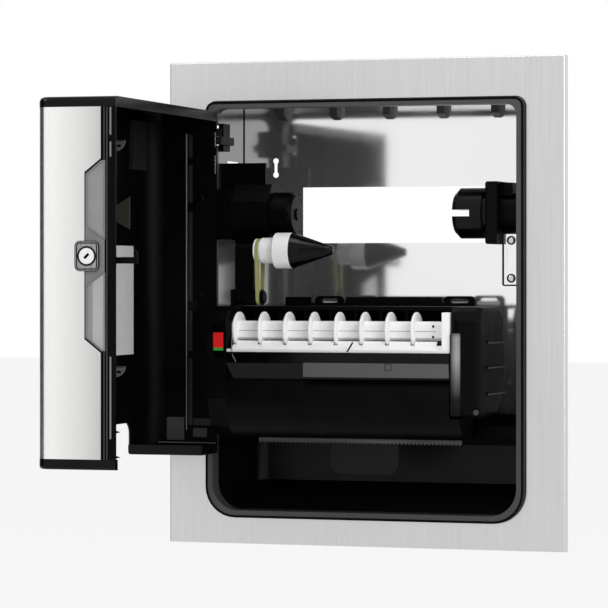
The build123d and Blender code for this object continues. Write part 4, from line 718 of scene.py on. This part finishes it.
PEG_X, PEG_Y = 147.5, -11.0
PEG_HEIGHTS = (127.1, 103.8)
PEG_PROFILE = [(0, -2), (1.5, -2), (1.5, 0.6), (0.75, 1.2), (0.75, 4.6), (1.1, 5.0),
               (1.1, 5.8), (0.5, 6.6), (0.35, 8.4), (0, 8.6)]
PEG_ARM_FRONT, PEG_ARM_REAR, PEG_ARM_HALF = -13.5, -11.5, 1.6
PEG_ARM_LEFT, PEG_ARM_RIGHT = 146.4, 154.2


def dress_arch_pegs():
    """Small barbed pegs in the arch at the door's foot, each on its arm."""
    for k, z in enumerate(PEG_HEIGHTS):
        turned(f"arch_peg_{k}", "door", "black_gloss", door_point(PEG_X, PEG_Y, z), DOOR_Y,
               PEG_PROFILE)
        prism(f"arch_peg_arm_{k}", "door", "black_gloss", door_point,
              box_outline(PEG_ARM_FRONT, PEG_ARM_REAR, z - PEG_ARM_HALF, z + PEG_ARM_HALF),
              PEG_ARM_LEFT, PEG_ARM_RIGHT)


# The door's inside

PANEL_FACE = -79.0
CLIP_TOPS = (406.0, 182.0)
CLIP_SIDE = -51.1
CLIP_HOLE_Y, CLIP_HOLE_DROP, CLIP_HOLE_LENGTH, CLIP_HOLE_WIDTH = -74.0, 5.6, 4.6, 2.3
CLIP_REACH, CLIP_TOP_THICK = -68.2, 1.4
CLIP_HOLE_RELIEF, CLIP_TOP_RELIEF = 0.4, 0.5
WEB_LEFT, WEB_RIGHT, WEB_REACH = -56.5, -54.0, -64.0
WEB_FOOT, WEB_END = (325.6, 340.9), (317.8, 350.1)


def dress_panel():
    """Holes and tops of the label's clips, and the web above the label."""
    for k, top in enumerate(CLIP_TOPS):
        prism(f"clip_hole_{k}", "door", "black_gloss", door_point,
              capsule(CLIP_HOLE_Y, top - CLIP_HOLE_DROP, CLIP_HOLE_LENGTH, CLIP_HOLE_WIDTH),
              CLIP_SIDE, CLIP_SIDE + CLIP_HOLE_RELIEF, None, FINEST_EDGE)
        prism(f"clip_top_{k}", "door", "black_matte", door_point,
              box_outline(PANEL_FACE, CLIP_REACH, top - CLIP_TOP_THICK, top),
              CLIP_SIDE, CLIP_SIDE + CLIP_TOP_RELIEF, MID_GREY, FINE_EDGE)
    prism("panel_web", "door", "black_matte", door_point,
          [(PANEL_FACE, WEB_FOOT[0]), (WEB_REACH, WEB_END[0]), (WEB_REACH, WEB_END[1]),
           (PANEL_FACE, WEB_FOOT[1])], WEB_LEFT, WEB_RIGHT, OLIVE_GREY)


HINGE_WALL, HINGE_STRIP = -149.0, -147.8
STRIP_SINK, EDGE_LINE_RISE = 0.2, 0.7
EDGE_LINE_Y, EDGE_LINE_Z = (-36.0, -35.0), (115.0, 416.0)
BAND_Y, BAND_Z = (-33.4, -29.3), (120.0, 415.0)
STEP_Y = (-34.6, -24.0)
STEPS_Z = ((384.0, 392.0), (336.5, 346.6), (236.0, 246.0), (188.0, 196.0))
STEP_TOP = HINGE_STRIP + 0.4
BOSS_Y, BOSSES_Z = -21.4, (349.7, 250.1)
BOSS_PROFILE = [(3.6, -0.3), (3.6, 1.6), (3.2, 2.0), (2.2, 2.0), (2.0, 1.6), (2.0, 0.6),
                (0, 0.6)]


def dress_hinge_wall():
    """Strip, steps and bosses on the inner wall by the hinges."""
    # The edge line is a painted highlight.
    prism("wall_edge_painted_highlight", "door", "black_gloss", door_point,
          box_outline(*EDGE_LINE_Y, *EDGE_LINE_Z), HINGE_STRIP - STRIP_SINK,
          HINGE_STRIP + EDGE_LINE_RISE, GREY_AND_PAINTED_HIGHLIGHT)
    prism("wall_band", "door", "black_matte", door_point, box_outline(*BAND_Y, *BAND_Z),
          HINGE_STRIP - STRIP_SINK, STEP_TOP, DIM_GREY)
    for k, span in enumerate(STEPS_Z):
        prism(f"wall_band_step_{k}", "door", "black_gloss", door_point,
              box_outline(*STEP_Y, *span), HINGE_WALL, STEP_TOP)
    for k, z in enumerate(BOSSES_Z):
        turned(f"wall_boss_{k}", "door", "black_gloss", door_point(HINGE_WALL, BOSS_Y, z),
               DOOR_X, BOSS_PROFILE)


# Pads on that wall: name, slot, Y span, Z span, corner, thickness, tone. They stay
# under the 2 mm that the closed door leaves beside the module.

WALL_PADS = (
    ("wall_pocket", "black_matte", (-57.0, -38.4), (DOOR_LOW + 3, 128.0), 1.5, 0.6, MID_GREY),
    ("wall_ledge", "black_matte", (-28.6, -6.0), (119.9, 126.9), 0, 1.5, DIM_GREY),
    ("wall_foot", "black_matte", (-28.6, -14.0), (108.0, 117.0), 0, 1.5, MID_GREY),
    ("wall_lip", "black_gloss", (-78.0, -5.0), (DOOR_LOW, DOOR_LOW + 0.9), 0, 1.6,
     SURROUND_GREY),
    ("hinge_leaf_0", "steel_part", (-6.6, -4.8), (403.6, 416.8), 0, 0.8, None),
    ("hinge_leaf_1", "steel_part", (-6.6, -4.8), (375.1, 393.4), 0, 0.8, None),
)


def dress_wall_pads():
    for name, slot_name, across, upwards, corner, thick, tone in WALL_PADS:
        prism(name, "door", slot_name, door_point, box_outline(*across, *upwards, corner),
              HINGE_WALL, HINGE_WALL + thick, tone)


# The module's front

MODULE_FACE = -54.0


def on_module(name, outline, sink, rise, material, edge=EDGE, slot_name="black_gloss",
              body="cabinet"):
    """A plate let into the module's front face, standing out of it by rise."""
    prism(name, body, slot_name, facing, outline, MODULE_FACE - rise, MODULE_FACE + sink,
          material, edge)


HOUSING_EDGE = ((-121.0, -52.2, 216.0), (-121.5, -52.4, 199.0), (-120.3, -53.9, 193.0),
                (-116.7, -54.1, 186.0))
HOUSING_EDGE_RADIUS = 0.4
RAIL_PANEL_X, RAIL_PANEL_Z, RAIL_PANEL_CORNER = (-46.0, 103.6), (171.5, 185.5), 1.0
RAIL_MARK_X, RAIL_MARK_Z, RAIL_MARK_CORNER = (38.2, 45.4), (178.2, 185.0), 0.8
RAIL_MARK_LINE = 0.6
RAIL_MARK_FRONT, RAIL_MARK_REAR = MODULE_FACE - 0.7, MODULE_FACE - 0.3


def dress_rail():
    """Painted highlight along the left housing's edge, the rail's panel in a painted lit grey, and
    its square mark.
    """
    # A painted highlight along the left housing's edge.
    wire("housing_painted_highlight", "cabinet", "black_gloss", [plate(*point) for point in HOUSING_EDGE],
         HOUSING_EDGE_RADIUS, GREY_AND_PAINTED_HIGHLIGHT)
    on_module("rail_panel", box_outline(*RAIL_PANEL_X, *RAIL_PANEL_Z, RAIL_PANEL_CORNER),
              0.4, 0.5, RAIL_PAINTED_LIGHT, slot_name="black_matte")
    frame_band("rail_mark", "cabinet", "black_gloss", facing,
               box_outline(*RAIL_MARK_X, *RAIL_MARK_Z, RAIL_MARK_CORNER), RAIL_MARK_LINE,
               RAIL_MARK_FRONT, RAIL_MARK_REAR, DIM_GREY)


SLASH_LEFT, SLASH_WIDTH, SLASH_LEAN = -1.7, 1.8, 5.7
SLASH_LOW, SLASH_HIGH = 196.6, 206.0
SLASH_FRONT, SLASH_REAR = -52.3, -51.6


def dress_tray_slash():
    """A slanting slot in the tray's front edge."""
    right = SLASH_LEFT + SLASH_WIDTH
    prism("tray_slash", "cabinet", "black_gloss", facing,
          [(SLASH_LEFT + SLASH_LEAN, SLASH_HIGH), (right + SLASH_LEAN, SLASH_HIGH),
           (right, SLASH_LOW), (SLASH_LEFT, SLASH_LOW)],
          SLASH_FRONT, SLASH_REAR, None, FINE_EDGE)


_, ROLLER_Y, ROLLER_Z = joint_place(JOINTS["feed_roller_spin"])
ROLLER_BAR_HALF = 9.5
ROLLER_FRONT = ROLLER_Y - ROLLER_BAR_HALF
PLUG_X, PLUG_OFFSETS = 83.2, (4.8, -5.6)
PLUG_PROFILE = [(1.2, -0.4), (1.2, 0.5), (0.9, 0.8), (0, 0.8)]


def dress_roller_plugs():
    for k, offset in enumerate(PLUG_OFFSETS):
        turned(f"roller_plug_{k}", "feed_roller", "black_gloss",
               plate(PLUG_X, ROLLER_FRONT, ROLLER_Z + offset), (0, -1, 0), PLUG_PROFILE,
               DEEP_BLACK, 20)


SHEEN_CORNER = 2.0
CASE_SIDE, RIB_SINK, RIB_RISE = 136.0, 0.2, 0.6
RIB_HEIGHTS, RIB_HALF, RIB_Y = (205.5, 181.0, 155.0), 0.5, (-26.0, 38.0)


def dress_gear_case():
    """The case's painted front sheen, and painted highlight lines on the ribs of its right side."""
    on_module("gear_case_painted_highlight_strip",
              box_outline(SHEEN_LEFT, SHEEN_RIGHT, SHEEN_LOW, SHEEN_HIGH, SHEEN_CORNER),
              0.4, 0.25, gear_case_painted_highlight(), FINE_EDGE)
    for k, z in enumerate(RIB_HEIGHTS):
        prism(f"case_rib_highlight_{k}", "cabinet", "black_gloss", plate,
              box_outline(*RIB_Y, z - RIB_HALF, z + RIB_HALF), CASE_SIDE - RIB_SINK,
              CASE_SIDE + RIB_RISE, RAIL_PAINTED_LIGHT, FINE_EDGE)


DISC_COUNT = 8
FIRST_DISC_X, DISC_PITCH, DISC_THICK, DISC_GAP = -123.4, 26.5, 3.0, 0.5
TRAY_RIGHT = 95.5
SLOPE_THICK = 1.0
SLOPE_START, SLOPE_END = (-50.4, 196.4), (-39.8, 206.9)
FOOT_START, FOOT_END = (-50.2, 196.4), (-42.9, 203.0)
SEAM_LEFT, SEAM_RIGHT, SEAM_RADIUS = -119.0, 86.0, 0.25


def slope_outline(start, end):
    """A sloping sheet seen from the side, from its start up to its end."""
    return [start, (start[0] + SLOPE_THICK, start[1]), (end[0] + SLOPE_THICK, end[1]), end]


def dress_tray():
    """The tray's sloping floor between the discs, its foot, and the roller's seam."""
    for k in range(DISC_COUNT):
        disc = FIRST_DISC_X + k * DISC_PITCH
        left = disc + DISC_THICK + DISC_GAP
        right = min(disc + DISC_PITCH - DISC_GAP, TRAY_RIGHT)
        prism(f"tray_slope_{k}", "cabinet", "white_plastic", plate,
              slope_outline(SLOPE_START, SLOPE_END), left, right)
    prism("tray_foot", "cabinet", "white_plastic", plate, slope_outline(FOOT_START, FOOT_END),
          FIRST_DISC_X, TRAY_RIGHT)
    wire("roller_seam", "feed_roller", "white_plastic",
         [plate(x, ROLLER_FRONT, ROLLER_Z) for x in (SEAM_LEFT, SEAM_RIGHT)], SEAM_RADIUS,
         GREY_AND_PAINTED_HIGHLIGHT)


SLOT_CENTRES_X, SLOT_Z, SLOT_LENGTH, SLOT_WIDTH = (-54.2, 83.5), 243.0, 25.5, 5.0
SLOT_FRONT, SLOT_REAR = 63.0, 63.6


def dress_rail_slots():
    """Pale plates in the slots of the rear rail's ears, as painted reflection of the bright wall
    seen through them.
    """
    for k, x in enumerate(SLOT_CENTRES_X):
        prism(f"rail_slot_painted_reflection_{k}", "cabinet", "white_plastic", facing,
              capsule(x, SLOT_Z, SLOT_LENGTH, SLOT_WIDTH), SLOT_FRONT, SLOT_REAR)


SCREEN_HALF, SCREEN_Z = 167.0, (98.2, 130.0)
SCREEN_FRONT, SCREEN_REAR = 108.0, 109.4
INDICATOR_X, INDICATOR_Z = (-140.6, -130.1), (199.8, 214.9)
CASE_SCREW_X, CASE_SCREW_Z = 131.0, 138.5
CASE_SCREW_PROFILE = [(2.6, -0.4), (2.6, 0.6), (2.1, 1.1), (1.2, 1.1), (1.0, 0.5), (0, 0.5)]


def dress_small_parts():
    """Dark screen low in the outlet, red face of the indicator, screw of the case."""
    prism("outlet_screen", "cabinet", "black_matte", facing,
          box_outline(-SCREEN_HALF, SCREEN_HALF, *SCREEN_Z), SCREEN_FRONT, SCREEN_REAR,
          DEEP_BLACK)
    on_module("indicator_window_face", box_outline(*INDICATOR_X, *INDICATOR_Z), 0.6, -0.1,
              None, slot_name="signal_red", body="roll_indicator")
    turned("case_screw", "cabinet", "steel_part",
           plate(CASE_SCREW_X, MODULE_FACE, CASE_SCREW_Z), (0, -1, 0), CASE_SCREW_PROFILE,
           MID_GREY)


# The recess

BEZEL_HALF, BEZEL_LOW, BEZEL_HIGH = 166.0, 27.0, 448.0
BEZEL_ARCS = ((1, -1, 31.0), (1, 1, 9.0), (-1, 1, 9.0), (-1, -1, 31.0))
BEZEL_ARC_STEPS = 8
BEZEL_LINE_WIDTH, BEZEL_LINE_OUTSET = 2.4, 0.3
BEZEL_LINE_FRONT, BEZEL_LINE_REAR = -5.7, -4.5


def bezel_outline(outwards):
    """The bezel's line, anticlockwise, with its large arcs below and small ones above."""
    points = []
    for corner, (side, level, radius) in enumerate(BEZEL_ARCS):
        reach = radius + outwards
        x = side * (BEZEL_HALF - radius)
        z = BEZEL_LOW + radius if level < 0 else BEZEL_HIGH - radius
        for k in range(BEZEL_ARC_STEPS + 1):
            turn = radians(-90 + 90 * corner + 90 * k / BEZEL_ARC_STEPS)
            points.append((x + reach * cos(turn), z + reach * sin(turn)))
    return points


def dress_bezel():
    """Painted shade: a dark line round the bezel's face, where the gap to the plate lies in shadow.
    """
    frame_band("bezel_shadow_line", "cabinet", "black_gloss", facing,
               bezel_outline(BEZEL_LINE_OUTSET), BEZEL_LINE_WIDTH, BEZEL_LINE_FRONT,
               BEZEL_LINE_REAR, DEEP_BLACK)


CORNER_SEAM_X, CORNER_SEAM_Y, CORNER_SEAM_Z = -167.6, 117.6, (98.0, 445.0)
CORNER_SEAM_RADIUS = 0.5
KEEPER_X, KEEPER_Z, KEEPER_CORNER, KEEPER_LINE_WIDTH = (141.0, 168.0), (261.5, 314.5), 2.0, 1.5
KEEPER_FACE, KEEPER_LINE_RISE, KEEPER_LINE_SINK = 10.0, 1.1, 0.2
WASHER_X, WASHERS_Z = 150.0, (269.2, 306.8)
WASHER_PROFILE = [(3.2, -0.2), (3.2, 0.6), (4.3, 0.6), (4.5, 0.4), (4.5, -0.2)]
HUB_SCREW_PLACE = (-78.2, 23.0, 334.0)
HUB_SCREW_PROFILE = [(4.4, -0.6), (4.4, 1.2), (3.9, 1.7), (2.9, 1.7), (2.5, 1.1), (2.5, 0.4),
                     (0, 0.4)]


def dress_recess():
    """Seam in the rear corner, line and washers of the keeper, screw of the left hub."""
    wire("corner_seam", "cabinet", "black_matte",
         [plate(CORNER_SEAM_X, CORNER_SEAM_Y, z) for z in CORNER_SEAM_Z], CORNER_SEAM_RADIUS,
         DEEP_BLACK)
    frame_band("keeper_line", "cabinet", "black_matte", facing,
               box_outline(*KEEPER_X, *KEEPER_Z, KEEPER_CORNER), KEEPER_LINE_WIDTH,
               KEEPER_FACE - KEEPER_LINE_RISE, KEEPER_FACE + KEEPER_LINE_SINK, DEEP_BLACK)
    for k, z in enumerate(WASHERS_Z):
        turned(f"keeper_washer_{k}", "cabinet", "black_matte",
               plate(WASHER_X, KEEPER_FACE, z), (0, -1, 0), WASHER_PROFILE, DEEP_BLACK)
    turned("hub_screw", "left_hub", "chrome_part", plate(*HUB_SCREW_PLACE), (1, 0, 0),
           HUB_SCREW_PROFILE, GREY_AND_PAINTED_HIGHLIGHT)


bpy.context.scene.view_settings.view_transform = "Standard"
make_camera()
make_world()
for lamp_values in LAMPS:
    area_light(*lamp_values)
make_floor()
make_flag()
dress_nodes()

dress_skin_edge()
dress_windows()
dress_lock()
dress_rim()
dress_arch_pegs()
dress_panel()
dress_hinge_wall()
dress_wall_pads()

dress_rail()
dress_tray_slash()
dress_roller_plugs()
dress_gear_case()
dress_tray()
dress_rail_slots()
dress_small_parts()

dress_bezel()
dress_recess()
